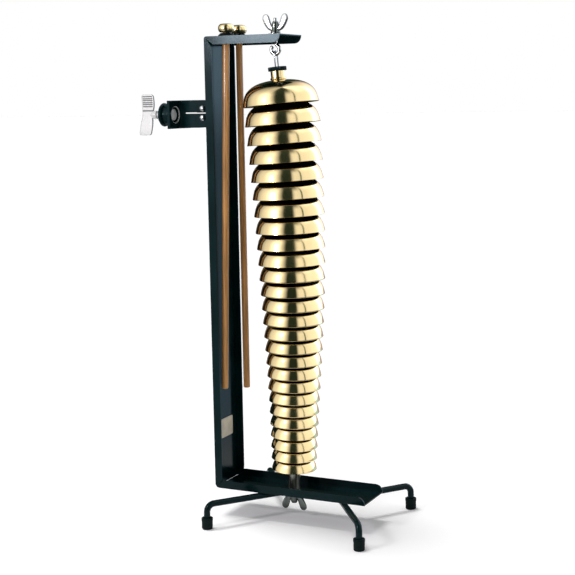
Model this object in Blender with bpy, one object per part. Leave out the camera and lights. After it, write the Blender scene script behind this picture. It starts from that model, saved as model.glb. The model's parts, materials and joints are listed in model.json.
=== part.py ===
"""Bell tree: 26 nested brass bells on a bowed rod, held in a C-shaped stand with mallets and a clamp.

Metres, +Z up. The stand's arms point to +X, its channel is centred on Y = 0 and the feet stand on Z = 0.
"""
import math

import bmesh
import bpy
from mathutils import Matrix, Vector

# Stand: one steel channel bent into a C, with its web outside and its flanges inside
column_back_x = -0.0728
base_underside_z = 0.0439
column_height = 0.7088
base_length = 0.2569
top_length = 0.1284
channel_width = 0.076
flange_depth = 0.0126
sheet = 0.002
tip_radius = 0.0115
lower_corner_radius = 0.0065
upper_corner_radius = 0.0035
mitre_start = 0.0045
mitre_width = 0.0042
mitre_depth = 0.0016

# Legs: two V-shaped rods under the base, each with a rubber foot on both ends
leg_radius = 0.005
leg_bend_radius = 0.012
leg_apex_radius = 0.015
left_apex_x = 0.106
right_apex_x = 0.199
left_feet_x = 0.0227
right_feet_x = 0.277
foot_spread = 0.215
foot_radius = 0.0085
foot_ring = 0.0004
foot_height = 0.018
foot_floor = 0.006

# Bells: the rims follow a bowed line, and radius, height and pitch fall from the first to the last
bell_count = 26
first_rim_drop = 0.1044
last_rim_rise = 0.0349
pitch_spread = 0.67
pitch_fall = 1.485
first_rim_radius = 0.0586
last_rim_radius = 0.034
radius_swell = 0.0013
swell_skew = 1.26
first_bell_height = 0.037
last_bell_height = 0.028
bell_wall = 0.0016
crown_squareness = 3.2
rim_flare = 0.025
bell_play = 0.0009

# Bowed line of the rod, as offsets from the column's back with slopes against height
rod_foot_x = 0.121
rod_top_x = 0.1043
rod_top_drop = 0.0467
rod_foot_slope = 0.03
rod_top_slope = -0.112
rod_radius = 0.00325
spacer_radius = 0.006
post_radius = 0.0095
post_chamfer = 0.001
rod_tail = 0.0212

# Head of the bell string: brass ferrule, knurled cap, wire bail and hook
ferrule_radius = 0.0108
ferrule_height = 0.0133
ferrule_ring_radius = 0.0122
ferrule_ring_height = 0.003
ferrule_ring_round = 0.0009
cap_radius = 0.0141
cap_height = 0.0057
cap_flutes = 22
cap_flute_depth = 0.0007
bail_wire_radius = 0.00125
bail_half_width = 0.0049
bail_height = 0.0237
bail_socket = 0.003
hook_wire_radius = 0.0028
hook_ring_radius = 0.00675
hook_shank_x = 0.1035
hook_neck = 0.0043
hook_start_deg = 50
hook_tip_deg = -225
hook_stickout = 0.0253

# Wing nuts, on the hook above the top arm and on the rod below the base
washer_radius = 0.0108
top_washer_height = 0.0018
bottom_washer_height = 0.003
nut_base_radius = 0.0075
nut_neck_radius = 0.0058
nut_height = 0.0135
nut_wing_reach = 0.0205
nut_wing_height = 0.0295
nut_wing_width = 0.0085
nut_wing_thickness = 0.003
thread_play = 0.0004

# Mallets hanging through two rubber grommets in the top arm
near_mallet_x = 0.0306
far_mallet_x = 0.029
mallet_spacing = 0.044
shaft_radius = 0.00525
near_shaft_length = 0.563
far_shaft_length = 0.5685
head_radius = 0.0125
head_height = 0.0135
head_seat_radius = 0.0098
head_socket = 0.0085
near_mallet_lean_deg = 1.8
grommet_radius = 0.0125
grommet_top_radius = 0.0088
grommet_rim_height = 0.0012
grommet_height = 0.0046
grommet_neck_radius = 0.007
grommet_lip_radius = 0.0086
grommet_lip_height = 0.002
grommet_bore_radius = 0.0063

# Clamp on the column's back: an open jaw closed by a wing screw, which is drawn out by its travel
clamp_drop = 0.1181
clamp_height = 0.0445
clamp_half_width = 0.018
clamp_reach = 0.081
clamp_underside_rise = 0.0026
jaw_wall = 0.005
jaw_back = 0.0045
clamp_block_length = 0.027
clamp_slot_length = 0.067
clamp_slot_height = 0.0018
clamp_slot_rise = 0.002
clamp_hole_radius = 0.012
clamp_hole_chamfer = 0.0012
clamp_bolt_offset = 0.0165
clamp_bolt_spacing = 0.0143
clamp_bolt_head_radius = 0.0048
clamp_bolt_head_height = 0.0034
clamp_bolt_radius = 0.0025
clamp_bolt_depth = 0.012
boss_disc_radius = 0.0186
boss_disc_length = 0.005
boss_disc_round = 0.0016
boss_neck_radius = 0.013
boss_flange_radius = 0.0165
boss_flange_length = 0.0025
boss_rib_width = 0.012
boss_length = 0.0175
screw_radius = 0.004
screw_travel = 0.0102
pad_radius = 0.0093
pad_thickness = 0.0022
pad_swivel = 0.003
pad_neck_radius = 0.0024
wing_hub_radius = 0.0065
wing_hub_length = 0.0066
wing_hub_nose = 0.005
wing_width = 0.0225
wing_root_width = 0.014
wing_reach = 0.0325
wing_flare_reach = 0.017
wing_tip_radius = 0.0045
wing_root_thickness = 0.0044
wing_tip_thickness = 0.003
wing_sweep = 0.0045
wing_lean = 0.003
wing_ribs = 3
wing_rib_inset = 0.0052
wing_rib_pitch = 0.0062
wing_rib_width = 0.0032
wing_rib_length = 0.016
wing_rib_height = 0.0007

# Clearance where two pieces touch, and the angle from which an edge counts as sharp
gap = 0.0003
sharp_deg = 35

column_top_z = base_underside_z + column_height
base_floor_z = base_underside_z + sheet
rod_top_z = column_top_z - rod_top_drop
clamp_z = column_top_z - clamp_drop
hook_x = column_back_x + hook_shank_x
rod_x = column_back_x + rod_foot_x


def clear_scene():
    """Removes whatever the scene holds."""
    for item in list(bpy.data.objects):
        bpy.data.objects.remove(item, do_unlink=True)


def material(name, colour, roughness, metallic=0.0):
    """A Principled material with one colour, roughness and metallic value."""
    made = bpy.data.materials.new(name)
    made.use_nodes = True
    shader = made.node_tree.nodes["Principled BSDF"]
    shader.inputs["Base Color"].default_value = (*colour, 1.0)
    shader.inputs["Roughness"].default_value = roughness
    shader.inputs["Metallic"].default_value = metallic
    made.diffuse_color = (*colour, 1.0)
    return made


def to_object(name, shape, look=None, place=None):
    """Closes a bmesh, makes it an object with a material and puts it where its matrix says."""
    bmesh.ops.remove_doubles(shape, verts=shape.verts, dist=1e-7)
    bmesh.ops.recalc_face_normals(shape, faces=shape.faces)
    mesh = bpy.data.meshes.new(name)
    shape.to_mesh(mesh)
    shape.free()
    mesh.shade_smooth()
    mesh.set_sharp_from_angle(angle=math.radians(sharp_deg))
    made = bpy.data.objects.new(name, mesh)
    if look:
        made.data.materials.append(look)
    if place:
        made.matrix_world = place
    bpy.context.scene.collection.objects.link(made)
    return made


def turned(name, profile, sides, look=None, place=None, closed=False):
    """Spins (radius, height) points about Z. A closed profile makes a ring with a bore."""
    shape = bmesh.new()
    points = [shape.verts.new((radius, 0.0, height)) for radius, height in profile]
    pairs = list(zip(points, points[1:]))
    if closed:
        pairs.append((points[-1], points[0]))
    edges = [shape.edges.new(pair) for pair in pairs]
    bmesh.ops.spin(shape, geom=points + edges, cent=(0, 0, 0), axis=(0, 0, 1), angle=math.tau, steps=sides)
    return to_object(name, shape, look, place)


def extruded(name, outline, low, high, look=None, place=None):
    """Extrudes an (x, z) outline along Y from low to high."""
    shape = bmesh.new()
    face = shape.faces.new([shape.verts.new((x, low, z)) for x, z in outline])
    grown = bmesh.ops.extrude_face_region(shape, geom=[face])
    moved = [item for item in grown["geom"] if isinstance(item, bmesh.types.BMVert)]
    bmesh.ops.translate(shape, verts=moved, vec=(0, high - low, 0))
    return to_object(name, shape, look, place)


def lofted(name, rings, sides, look=None, closed=False):
    """Joins circles, given as (matrix, radius), into a solid. A closed loft ends where it starts."""
    shape = bmesh.new()
    loops = []
    for frame, radius in rings:
        turns = [math.tau * side / sides for side in range(sides)]
        spots = [frame @ Vector((radius * math.cos(turn), radius * math.sin(turn), 0)) for turn in turns]
        loops.append([shape.verts.new(spot) for spot in spots])
    pairs = list(zip(loops, loops[1:]))
    if closed:
        pairs.append((loops[-1], loops[0]))
    else:
        shape.faces.new(loops[0])
        shape.faces.new(loops[-1])
    for lower, upper in pairs:
        for side in range(sides):
            after = (side + 1) % sides
            shape.faces.new((lower[side], lower[after], upper[after], upper[side]))
    return to_object(name, shape, look)


def axis_frame(centre, direction, side=Vector((0, 1, 0))):
    """A matrix at a point whose Z is a direction and whose Y leans to a given side."""
    z_axis = direction.normalized()
    x_axis = side.cross(z_axis).normalized()
    y_axis = z_axis.cross(x_axis)
    turn = Matrix((x_axis, y_axis, z_axis)).transposed().to_4x4()
    return Matrix.Translation(centre) @ turn


def wire(name, path, radius, sides, look=None, side=Vector((0, 1, 0))):
    """Sweeps a circle along points that lie in a plane square to the given side."""
    rings = []
    for index, point in enumerate(path):
        before = point - path[index - 1] if index else path[1] - point
        after = path[index + 1] - point if index + 1 < len(path) else before
        before = before.normalized()
        after = after.normalized()
        lean = before + after
        stretch = 1 / max(0.5, before.dot(lean.normalized()))
        frame = axis_frame(point, lean, side) @ Matrix.Diagonal((stretch, 1, 1, 1))
        rings.append((frame, radius))
    return lofted(name, rings, sides, look)


def arc(centre, radius, start_deg, end_deg, steps):
    """Points of an arc as (x, z) pairs, angles from +X towards +Z."""
    angles = [math.radians(start_deg + (end_deg - start_deg) * step / steps) for step in range(steps + 1)]
    return [(centre[0] + radius * math.cos(a), centre[1] + radius * math.sin(a)) for a in angles]


def rounded_corner(before, corner, after, radius, steps):
    """Points of the fillet that replaces the corner of a path in space."""
    back = (before - corner).normalized()
    ahead = (after - corner).normalized()
    half = back.angle(ahead) / 2
    reach = radius / math.tan(half)
    inward = (back + ahead).normalized()
    centre = corner + inward * (radius / math.sin(half))
    start = corner + back * reach - centre
    normal = start.cross(corner + ahead * reach - centre).normalized()
    sweep = math.pi - 2 * half
    return [centre + Matrix.Rotation(sweep * step / steps, 3, normal) @ start for step in range(steps + 1)]


def boolean(target, operation, tools):
    """Cuts or joins with exact Booleans and marks the new sharp edges. The tools stay hidden guides."""
    for tool in tools:
        modifier = target.modifiers.new(operation.title(), "BOOLEAN")
        modifier.operation = operation
        modifier.solver = "EXACT"
        modifier.object = tool
        tool.hide_render = True
        tool.display_type = "WIRE"
    result = target.evaluated_get(bpy.context.evaluated_depsgraph_get())
    mesh = bpy.data.meshes.new_from_object(result)
    mesh.set_sharp_from_angle(angle=math.radians(sharp_deg))
    target.modifiers.clear()
    target.data = mesh
    return target


def round_cutter(name, radius, low, high, sides, place):
    """A plain cylinder along Z used as a cutter."""
    return turned(name, [(0, low), (radius, low), (radius, high), (0, high)], sides, place=place)


def upright(x, y, z):
    """A matrix that only moves."""
    return Matrix.Translation((x, y, z))


def rod_line(height):
    """Point of the bowed rod at a height, and its direction there."""
    span = rod_top_z - base_floor_z
    s = (height - base_floor_z) / span
    x = (2 * s ** 3 - 3 * s ** 2 + 1) * rod_foot_x
    x += (s ** 3 - 2 * s ** 2 + s) * span * rod_foot_slope
    x += (3 * s ** 2 - 2 * s ** 3) * rod_top_x
    x += (s ** 3 - s ** 2) * span * rod_top_slope
    slope = (6 * s ** 2 - 6 * s) * (rod_foot_x - rod_top_x) / span
    slope += (3 * s ** 2 - 4 * s + 1) * rod_foot_slope
    slope += (3 * s ** 2 - 2 * s) * rod_top_slope
    return Vector((column_back_x + x, 0, height)), Vector((slope, 0, 1)).normalized()


def rim_heights():
    """Heights of the rims from the top: the pitches shrink steadily and together fill the string's span."""
    falls = [1 - number / (bell_count - 2) for number in range(bell_count - 1)]
    weights = [1 + pitch_spread * fall ** pitch_fall for fall in falls]
    heights = [column_top_z - first_rim_drop]
    span = heights[0] - base_underside_z - last_rim_rise
    for weight in weights:
        heights.append(heights[-1] - span * weight / sum(weights))
    return heights


def bell_series():
    """Rim radius, height and the frame at the middle of the crown of each bell, from the top."""
    series = []
    for number, rim_z in enumerate(rim_heights()):
        share = number / (bell_count - 1)
        swell = radius_swell * math.sin(math.tau * share ** swell_skew)
        radius = first_rim_radius + (last_rim_radius - first_rim_radius) * share + swell
        height = first_bell_height + (last_bell_height - first_bell_height) * share ** 1.5
        rim, direction = rod_line(rim_z)
        series.append((radius, height, axis_frame(rim + direction * height, direction)))
    return series


def bell_profile(radius, height):
    """Closed section of a bell with its crown on Z = 0: a squarish dome with a flared lip and a hole."""
    power = 2 / crown_squareness
    hole = rod_radius + bell_play
    shoulder = radius * (1 - rim_flare)

    def dome(angle, inset):
        turn = math.radians(angle)
        across = (shoulder - inset) * math.sin(turn) ** power
        return across, (height - inset) * math.cos(turn) ** power - height

    outer = [(hole, 0)] + [dome(angle, 0) for angle in (26, 50, 72)] + [(radius, -height)]
    inner = [(radius - bell_wall, -height)] + [dome(angle, bell_wall) for angle in (62, 28)]
    return outer + inner + [(hole, -bell_wall)]


def mitre_groove(name, corner, inner, face_y):
    """A V-shaped cutter in a flange's outer face that widens and deepens towards the inner corner."""
    run = (inner - corner).normalized()
    across = run.cross(Vector((0, 1, 0)))
    out = Vector((0, math.copysign(1, face_y), 0))
    slope = mitre_width / 2 / mitre_depth
    full = (inner - corner).length - mitre_start
    shape = bmesh.new()
    loops = []
    for distance in (0, full + mitre_width):
        spot = corner + run * (mitre_start + distance) + Vector((0, face_y, 0))
        depth = mitre_depth * distance / full
        brim = across * slope * (depth + sheet)
        spots = [spot - out * depth, spot + out * sheet + brim, spot + out * sheet - brim]
        loops.append([shape.verts.new(place) for place in spots])
    for side in range(3):
        after = (side + 1) % 3
        shape.faces.new((loops[0][side], loops[0][after], loops[1][after], loops[1][side]))
    for loop in loops:
        shape.faces.new(loop)
    return to_object(name, shape)


def stand_frame(look):
    """The C-shaped channel: full outline, hollowed between the flanges, drilled and mitred."""
    back = column_back_x
    low = base_underside_z
    high = column_top_z
    base_end = back + base_length
    top_end = back + top_length
    outline = arc((back + lower_corner_radius, low + lower_corner_radius), lower_corner_radius, 180, 270, 3)
    outline.append((base_end, low))
    outline += arc((base_end - tip_radius, low + flange_depth - tip_radius), tip_radius, 0, 90, 6)
    outline.append((back + flange_depth, low + flange_depth))
    outline.append((back + flange_depth, high - flange_depth))
    outline += arc((top_end - tip_radius, high - flange_depth + tip_radius), tip_radius, 270, 360, 6)
    outline.append((top_end, high))
    outline += arc((back + upper_corner_radius, high - upper_corner_radius), upper_corner_radius, 90, 180, 2)
    half = channel_width / 2
    frame = extruded("stand_frame", outline, -half, half, look)
    room = [
        (back + sheet, low + sheet),
        (base_end + flange_depth, low + sheet),
        (base_end + flange_depth, high - sheet),
        (back + sheet, high - sheet),
    ]
    cutters = [extruded("frame_hollow", room, sheet - half, half - sheet)]
    hook_hole = hook_wire_radius + gap * 2
    cutters.append(round_cutter("hook_hole", hook_hole, -sheet * 2, sheet, 12, upright(hook_x, 0, high)))
    rod_hole = rod_radius + gap * 2
    cutters.append(round_cutter("rod_hole", rod_hole, -sheet, sheet * 2, 12, upright(rod_x, 0, low)))
    for end, side, x in (("near", -1, near_mallet_x), ("far", 1, far_mallet_x)):
        spot = upright(back + x, side * mallet_spacing / 2, high)
        hole = grommet_neck_radius + gap
        cutters.append(round_cutter(f"grommet_hole_{end}", hole, -sheet * 2, sheet, 16, spot))
        upper = Vector((back, 0, high)), Vector((back + flange_depth, 0, high - flange_depth))
        lower = Vector((back, 0, low)), Vector((back + flange_depth, 0, low + flange_depth))
        cutters.append(mitre_groove(f"upper_mitre_{end}", *upper, side * half))
        cutters.append(mitre_groove(f"lower_mitre_{end}", *lower, side * half))
    return boolean(frame, "DIFFERENCE", cutters)


def leg_and_feet(side, apex_x, feet_x, steel, rubber):
    """A V-shaped rod under the base's web with a foot on each end."""
    level = base_underside_z - gap - leg_radius
    half = foot_spread / 2
    near_foot = Vector((column_back_x + feet_x, -half, foot_floor + gap))
    near_knee = Vector((near_foot.x, -half, level))
    apex = Vector((column_back_x + apex_x, 0, level))
    far_knee = Vector((near_foot.x, half, level))
    far_foot = Vector((near_foot.x, half, foot_floor + gap))
    path = [near_foot]
    path += rounded_corner(near_foot, near_knee, apex, leg_bend_radius, 5)
    path += rounded_corner(near_knee, apex, far_knee, leg_apex_radius, 4)
    path += rounded_corner(apex, far_knee, far_foot, leg_bend_radius, 5)
    path.append(far_foot)
    rings = []
    across = (apex - near_knee).cross(Vector((0, 0, 1))).normalized()
    for index, point in enumerate(path):
        before = (point - path[index - 1]).normalized() if index else (path[1] - point).normalized()
        after = (path[index + 1] - point).normalized() if index + 1 < len(path) else before
        lean = (before + after).normalized()
        across = (across - lean * across.dot(lean)).normalized()
        rings.append((axis_frame(point, lean, across), leg_radius))
    lofted(f"leg_rod_{side}", rings, 8, steel)
    socket = leg_radius + gap
    profile = [
        (0, 0),
        (foot_radius * 0.88, 0),
        (foot_radius, foot_height * 0.07),
        (foot_radius, foot_height * 0.72),
        (foot_radius + foot_ring, foot_height * 0.78),
        (foot_radius + foot_ring, foot_height),
        (socket, foot_height),
        (socket, foot_floor),
        (0, foot_floor),
    ]
    for end, y in (("near", -half), ("far", half)):
        turned(f"foot_{side}_{end}", profile, 14, rubber, upright(near_foot.x, y, 0))


def bells(series, look):
    """The bells, each with its origin on the rod at its crown."""
    for number, (radius, height, place) in enumerate(series, start=1):
        turned(f"bell_{number:02d}", bell_profile(radius, height), 16, look, place, closed=True)


def along(place, distance):
    """A frame moved along its own Z."""
    return place @ Matrix.Translation((0, 0, distance))


def bell_rod(series, look):
    """The bowed rod with a spacer between neighbouring bells, from its threaded tail to the cap."""
    rings = [
        (upright(rod_x, 0, base_underside_z - rod_tail), rod_radius),
        (upright(rod_x, 0, base_floor_z), rod_radius),
    ]
    for number, (_, _, place) in reversed(list(enumerate(series))):
        under = along(place, -bell_wall - gap)
        above = along(place, gap)
        if number < bell_count - 1:
            rings.append((under, spacer_radius))
        rings.append((under, rod_radius))
        rings.append((above, rod_radius))
        if number > 0:
            rings.append((above, spacer_radius))
    rings.append((along(series[0][2], ferrule_height + cap_height / 2), rod_radius))
    lofted("bell_rod", rings, 6, look)


def post_tube(series, look):
    """The tube that carries the lowest bell on the base."""
    foot = upright(rod_x, 0, base_floor_z + gap)
    head = along(series[-1][2], -bell_wall - gap)
    bore = rod_radius + gap
    shoulder = along(head, -post_chamfer)
    rings = [(foot, post_radius), (shoulder, post_radius), (head, spacer_radius), (head, bore), (foot, bore)]
    lofted("post_tube", rings, 16, look, closed=True)


def string_head(series, brass, black, steel):
    """Ferrule, knurled cap and bail above the first bell, and the hook that holds the bail."""
    seat = along(series[0][2], gap)
    bore = rod_radius + gap
    profile = [
        (bore, 0),
        (ferrule_ring_radius - ferrule_ring_round, 0),
        (ferrule_ring_radius, ferrule_ring_height / 2),
        (ferrule_ring_radius - ferrule_ring_round, ferrule_ring_height),
        (ferrule_radius, ferrule_ring_height),
        (ferrule_radius, ferrule_height),
        (bore, ferrule_height),
    ]
    turned("brass_ferrule", profile, 16, brass, seat, closed=True)

    cap_seat = along(seat, ferrule_height + gap)
    shape = bmesh.new()
    outline = []
    for step in range(cap_flutes * 2):
        turn = math.tau * step / (cap_flutes * 2)
        radius = cap_radius - (step % 2) * cap_flute_depth
        outline.append(shape.verts.new((radius * math.cos(turn), radius * math.sin(turn), 0)))
    grown = bmesh.ops.extrude_face_region(shape, geom=[shape.faces.new(outline)])
    lifted = [item for item in grown["geom"] if isinstance(item, bmesh.types.BMVert)]
    bmesh.ops.translate(shape, verts=lifted, vec=(0, 0, cap_height))
    cap = to_object("rod_cap", shape, black, cap_seat)
    cutters = [round_cutter("cap_bore", bore, -cap_height, cap_height * 0.6, 12, cap_seat)]
    for side in (-1, 1):
        spot = along(cap_seat, cap_height) @ upright(0, side * bail_half_width, 0)
        name = "bail_hole_near" if side < 0 else "bail_hole_far"
        cutters.append(round_cutter(name, bail_wire_radius + gap, -bail_socket, bail_socket, 8, spot))
    boolean(cap, "DIFFERENCE", cutters)

    top = along(cap_seat, cap_height)
    straight = bail_height - bail_half_width
    path = [(bail_half_width, gap - bail_socket)]
    path += arc((0, straight), bail_half_width, 0, 180, 10)
    path.append((-bail_half_width, gap - bail_socket))
    points = [top @ Vector((0, y, z)) for y, z in path]
    wire("bail", points, bail_wire_radius, 8, steel, top.to_3x3() @ Vector((1, 0, 0)))

    apex = top @ Vector((0, 0, bail_height))
    drop = bail_wire_radius + gap + hook_wire_radius
    centre = (apex.x, apex.z - drop + hook_ring_radius)
    shank_top = column_top_z + hook_stickout
    turn_z = centre[1] + hook_ring_radius + hook_neck
    path = [(hook_x, shank_top), (hook_x, turn_z)]
    path += arc(centre, hook_ring_radius, hook_start_deg, hook_tip_deg, 14)
    points = [Vector((x, 0, z)) for x, z in path]
    wire("hook_bolt", points, hook_wire_radius, 10, steel)


def wing_outline():
    """Both wings of a nut in one (x, z) outline that crosses the barrel."""
    tip = nut_wing_width / 2
    lean = math.radians(62)
    reach = nut_wing_reach - tip
    rise = nut_wing_height - tip
    round_tip = arc((reach, rise), tip, math.degrees(lean) - 110, math.degrees(lean) + 100, 5)
    right = [(0, nut_height * 0.2), (nut_neck_radius, nut_height * 0.2)]
    right.append((nut_neck_radius + tip, nut_height * 0.48))
    right += round_tip
    right += [(nut_neck_radius * 1.05, nut_height * 0.9), (0, nut_height * 0.9)]
    left = [(-x, z) for x, z in reversed(right[1:-1])]
    return right + left


def wing_nut(name, bore, look, place):
    """A wing nut standing on its base at Z = 0 of its place."""
    profile = [
        (0, 0),
        (nut_base_radius, 0),
        (nut_base_radius, nut_height * 0.16),
        (nut_neck_radius, nut_height * 0.36),
        (nut_neck_radius * 0.9, nut_height),
        (0, nut_height),
    ]
    nut = turned(name, profile, 16, look, place)
    half = nut_wing_thickness / 2
    wings = extruded(f"{name}_wings", wing_outline(), -half, half, place=place)
    hole = round_cutter(f"{name}_bore", bore, -nut_height, nut_height * 2, 12, place)
    boolean(nut, "UNION", [wings])
    return boolean(nut, "DIFFERENCE", [hole])


def washer(name, height, bore, look, place):
    """A plain washer standing on Z = 0 of its place."""
    profile = [(bore, 0), (washer_radius, 0), (washer_radius, height), (bore, height)]
    turned(name, profile, 14, look, place, closed=True)


def fasteners(chrome, black):
    """Washer and wing nut above the top arm, and the same upside down below the base."""
    bore = hook_wire_radius + thread_play
    seat = upright(hook_x, 0, column_top_z + gap)
    washer("top_washer", top_washer_height, bore, chrome, seat)
    wing_nut("top_wing_nut", bore, chrome, along(seat, top_washer_height + gap))
    bore = rod_radius + thread_play
    flip = Matrix.Rotation(math.pi, 4, "Y")
    seat = upright(rod_x, 0, base_underside_z - gap) @ flip
    washer("bottom_washer", bottom_washer_height, bore, black, seat)
    wing_nut("bottom_wing_nut", bore, chrome, along(seat, bottom_washer_height + gap))


def mallets(wood, brass, rubber):
    """Two grommets in the top arm, and a mallet hanging by its head on each."""
    section = [
        (grommet_bore_radius, -sheet - gap - grommet_lip_height),
        (grommet_lip_radius, -sheet - gap - grommet_lip_height),
        (grommet_lip_radius, -sheet - gap),
        (grommet_neck_radius, -sheet - gap),
        (grommet_neck_radius, gap),
        (grommet_radius, gap),
        (grommet_radius, grommet_rim_height),
        (grommet_top_radius, grommet_height),
        (grommet_bore_radius, grommet_height),
    ]
    socket = shaft_radius + gap
    head = [
        (0, head_height),
        (head_radius * 0.5, head_height * 0.985),
        (head_radius * 0.8, head_height * 0.88),
        (head_radius * 0.96, head_height * 0.66),
        (head_radius, head_height * 0.44),
        (head_radius * 0.95, head_height * 0.2),
        (head_seat_radius, 0),
        (socket, 0),
        (socket, head_socket),
        (0, head_socket),
    ]
    near = ("near", -1, near_mallet_x, near_mallet_lean_deg, near_shaft_length)
    far = ("far", 1, far_mallet_x, 0.0, far_shaft_length)
    for end, side, x, lean, length in (near, far):
        hole = upright(column_back_x + x, side * mallet_spacing / 2, column_top_z)
        turned(f"grommet_{end}", section, 12, rubber, hole, closed=True)
        lift = head_seat_radius * math.sin(math.radians(lean))
        tilt = Matrix.Rotation(math.radians(lean), 4, "Y")
        seat = along(hole, grommet_height + gap + lift) @ tilt
        turned(f"mallet_head_{end}", head, 14, brass, seat)
        top = head_socket - gap
        foot = top - length
        shaft = [(0, foot), (shaft_radius * 0.8, foot), (shaft_radius, foot + shaft_radius * 0.4)]
        shaft += [(shaft_radius, top), (0, top)]
        turned(f"mallet_shaft_{end}", shaft, 12, wood, seat)


def clamp_bracket(mouth, cutters, look):
    """The open jaw: a plan outline grown downwards, whose underside rises towards the column."""
    back = column_back_x - gap
    outer = column_back_x - clamp_reach
    inner = outer + jaw_wall
    block = back - clamp_block_length
    near = -clamp_half_width
    far = clamp_half_width
    top = clamp_z + clamp_height / 2
    plan = [
        (outer, near),
        (inner, near),
        (inner, far - jaw_back),
        (block, far - jaw_back),
        (block, near),
        (back, near),
        (back, far),
        (outer, far),
    ]
    shape = bmesh.new()
    face = shape.faces.new([shape.verts.new((x, y, top)) for x, y in plan])
    grown = bmesh.ops.extrude_face_region(shape, geom=[face])
    for item in grown["geom"]:
        if isinstance(item, bmesh.types.BMVert):
            rise = clamp_underside_rise * (item.co.x - outer) / clamp_reach
            item.co.z = top - clamp_height + rise
    bracket = to_object("clamp_bracket", shape, look)

    slot_z = clamp_z + clamp_slot_rise
    slot_end = column_back_x - clamp_slot_length
    slot_top = slot_z + clamp_slot_height / 2
    slot_floor = slot_z - clamp_slot_height / 2
    slot_mouth = column_back_x + jaw_wall
    slot = [(slot_end, slot_floor), (slot_mouth, slot_floor), (slot_mouth, slot_top), (slot_end, slot_top)]
    hole = [
        (0, -jaw_wall - gap),
        (clamp_hole_radius + clamp_hole_chamfer + gap, -jaw_wall - gap),
        (clamp_hole_radius, clamp_hole_chamfer - jaw_wall),
        (clamp_hole_radius, jaw_wall),
        (0, jaw_wall),
    ]
    cutters.append(extruded("block_slot", slot, near * 2, far * 2))
    cutters.append(turned("pad_hole", hole, 16, place=mouth))
    boolean(bracket, "DIFFERENCE", cutters)


def clamp_bolts(look):
    """Two dome bolts in the near side of the block, one above and one below its slot, and their holes."""
    to_front = Matrix.Rotation(math.pi / 2, 4, "X")
    profile = [
        (0, -clamp_bolt_depth),
        (clamp_bolt_radius, -clamp_bolt_depth),
        (clamp_bolt_radius, 0),
        (clamp_bolt_head_radius, 0),
        (clamp_bolt_head_radius, clamp_bolt_head_height * 0.35),
        (clamp_bolt_head_radius * 0.75, clamp_bolt_head_height * 0.82),
        (clamp_bolt_head_radius * 0.35, clamp_bolt_head_height),
        (0, clamp_bolt_head_height),
    ]
    holes = []
    for side, end in ((1, "upper"), (-1, "lower")):
        z = clamp_z + clamp_slot_rise + side * clamp_bolt_spacing / 2
        seat = upright(column_back_x - clamp_bolt_offset, -clamp_half_width - gap, z) @ to_front
        turned(f"clamp_bolt_{end}", profile, 12, look, seat)
        bore = clamp_bolt_radius + gap
        holes.append(round_cutter(f"bolt_hole_{end}", bore, -clamp_bolt_depth - gap, jaw_wall, 12, seat))
    return holes


def clamp_boss(mouth, look):
    """The round boss on the jaw: flange, neck and disc, bridged along the top by a rib."""
    bore = screw_radius + thread_play
    disc = boss_length - boss_disc_length
    profile = [
        (bore, gap),
        (boss_flange_radius, gap),
        (boss_flange_radius, boss_flange_length),
        (boss_neck_radius, boss_flange_length),
        (boss_neck_radius, disc),
        (boss_disc_radius - boss_disc_round, disc),
        (boss_disc_radius, disc + boss_disc_round),
        (boss_disc_radius, boss_length - boss_disc_round),
        (boss_disc_radius - boss_disc_round, boss_length),
        (bore, boss_length),
    ]
    boss = turned("clamp_boss", profile, 16, look, mouth, closed=True)
    low = (bore + boss_neck_radius) / 2
    high = boss_flange_radius
    start = boss_flange_length / 2
    end = boss_length - boss_disc_length / 2
    outline = [(low, start), (high, start), (high, end), (low, end)]
    half = boss_rib_width / 2
    boolean(boss, "UNION", [extruded("boss_rib", outline, -half, half, place=mouth)])


def clamp_pad(mouth, look):
    """The round pad that swivels on the screw's end and sits in the jaw's hole while the clamp is open."""
    profile = [
        (0, -pad_thickness),
        (pad_radius * 0.92, -pad_thickness),
        (pad_radius, -pad_thickness * 0.75),
        (pad_radius, 0),
        (pad_neck_radius, 0),
        (pad_neck_radius, pad_swivel / 2),
        (screw_radius, pad_swivel / 2),
        (screw_radius, pad_swivel),
        (0, pad_swivel),
    ]
    turned("clamp_pad", profile, 14, look, mouth)


def wing_section(x, start):
    """Middle in Y and Z, half thickness and half width of the wing's S-shaped blade at a reach x."""
    share = x / wing_reach
    middle = wing_sweep * math.sin(share * math.pi / 2)
    thickness = wing_root_thickness + (wing_tip_thickness - wing_root_thickness) * abs(share)
    flare = math.sin(min(1, abs(x) / wing_flare_reach) * math.pi / 2) ** 2
    width = wing_root_width + (wing_width - wing_root_width) * flare
    beyond = max(0, abs(x) - wing_reach + wing_tip_radius)
    rounded = wing_tip_radius - math.sqrt(wing_tip_radius ** 2 - beyond ** 2)
    lift = start + wing_width / 2 + wing_lean * share ** 2
    return middle, lift, thickness / 2, width / 2 - rounded


def wing_blade(name, start, place):
    """The blade: each arm bends to its own side, thins and leans outward towards its rounded tip."""
    flat = wing_reach - wing_tip_radius
    reaches = [flat * step / 5 for step in range(6)]
    reaches += [flat + wing_tip_radius * math.sin(math.pi / 6 * step) for step in (1, 2, 3)]
    stations = [-x for x in reversed(reaches[1:])] + reaches
    shape = bmesh.new()
    loops = []
    for x in stations:
        y, z, thick, wide = wing_section(x, start)
        corners = ((-thick, -wide), (thick, -wide), (thick, wide), (-thick, wide))
        loops.append([shape.verts.new((x, y + across, z + along_z)) for across, along_z in corners])
    for before, after in zip(loops, loops[1:]):
        for side in range(4):
            near = (side + 1) % 4
            shape.faces.new((before[side], before[near], after[near], after[side]))
    shape.faces.new(loops[0])
    shape.faces.new(loops[-1])
    return to_object(name, shape, place=place)


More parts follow.
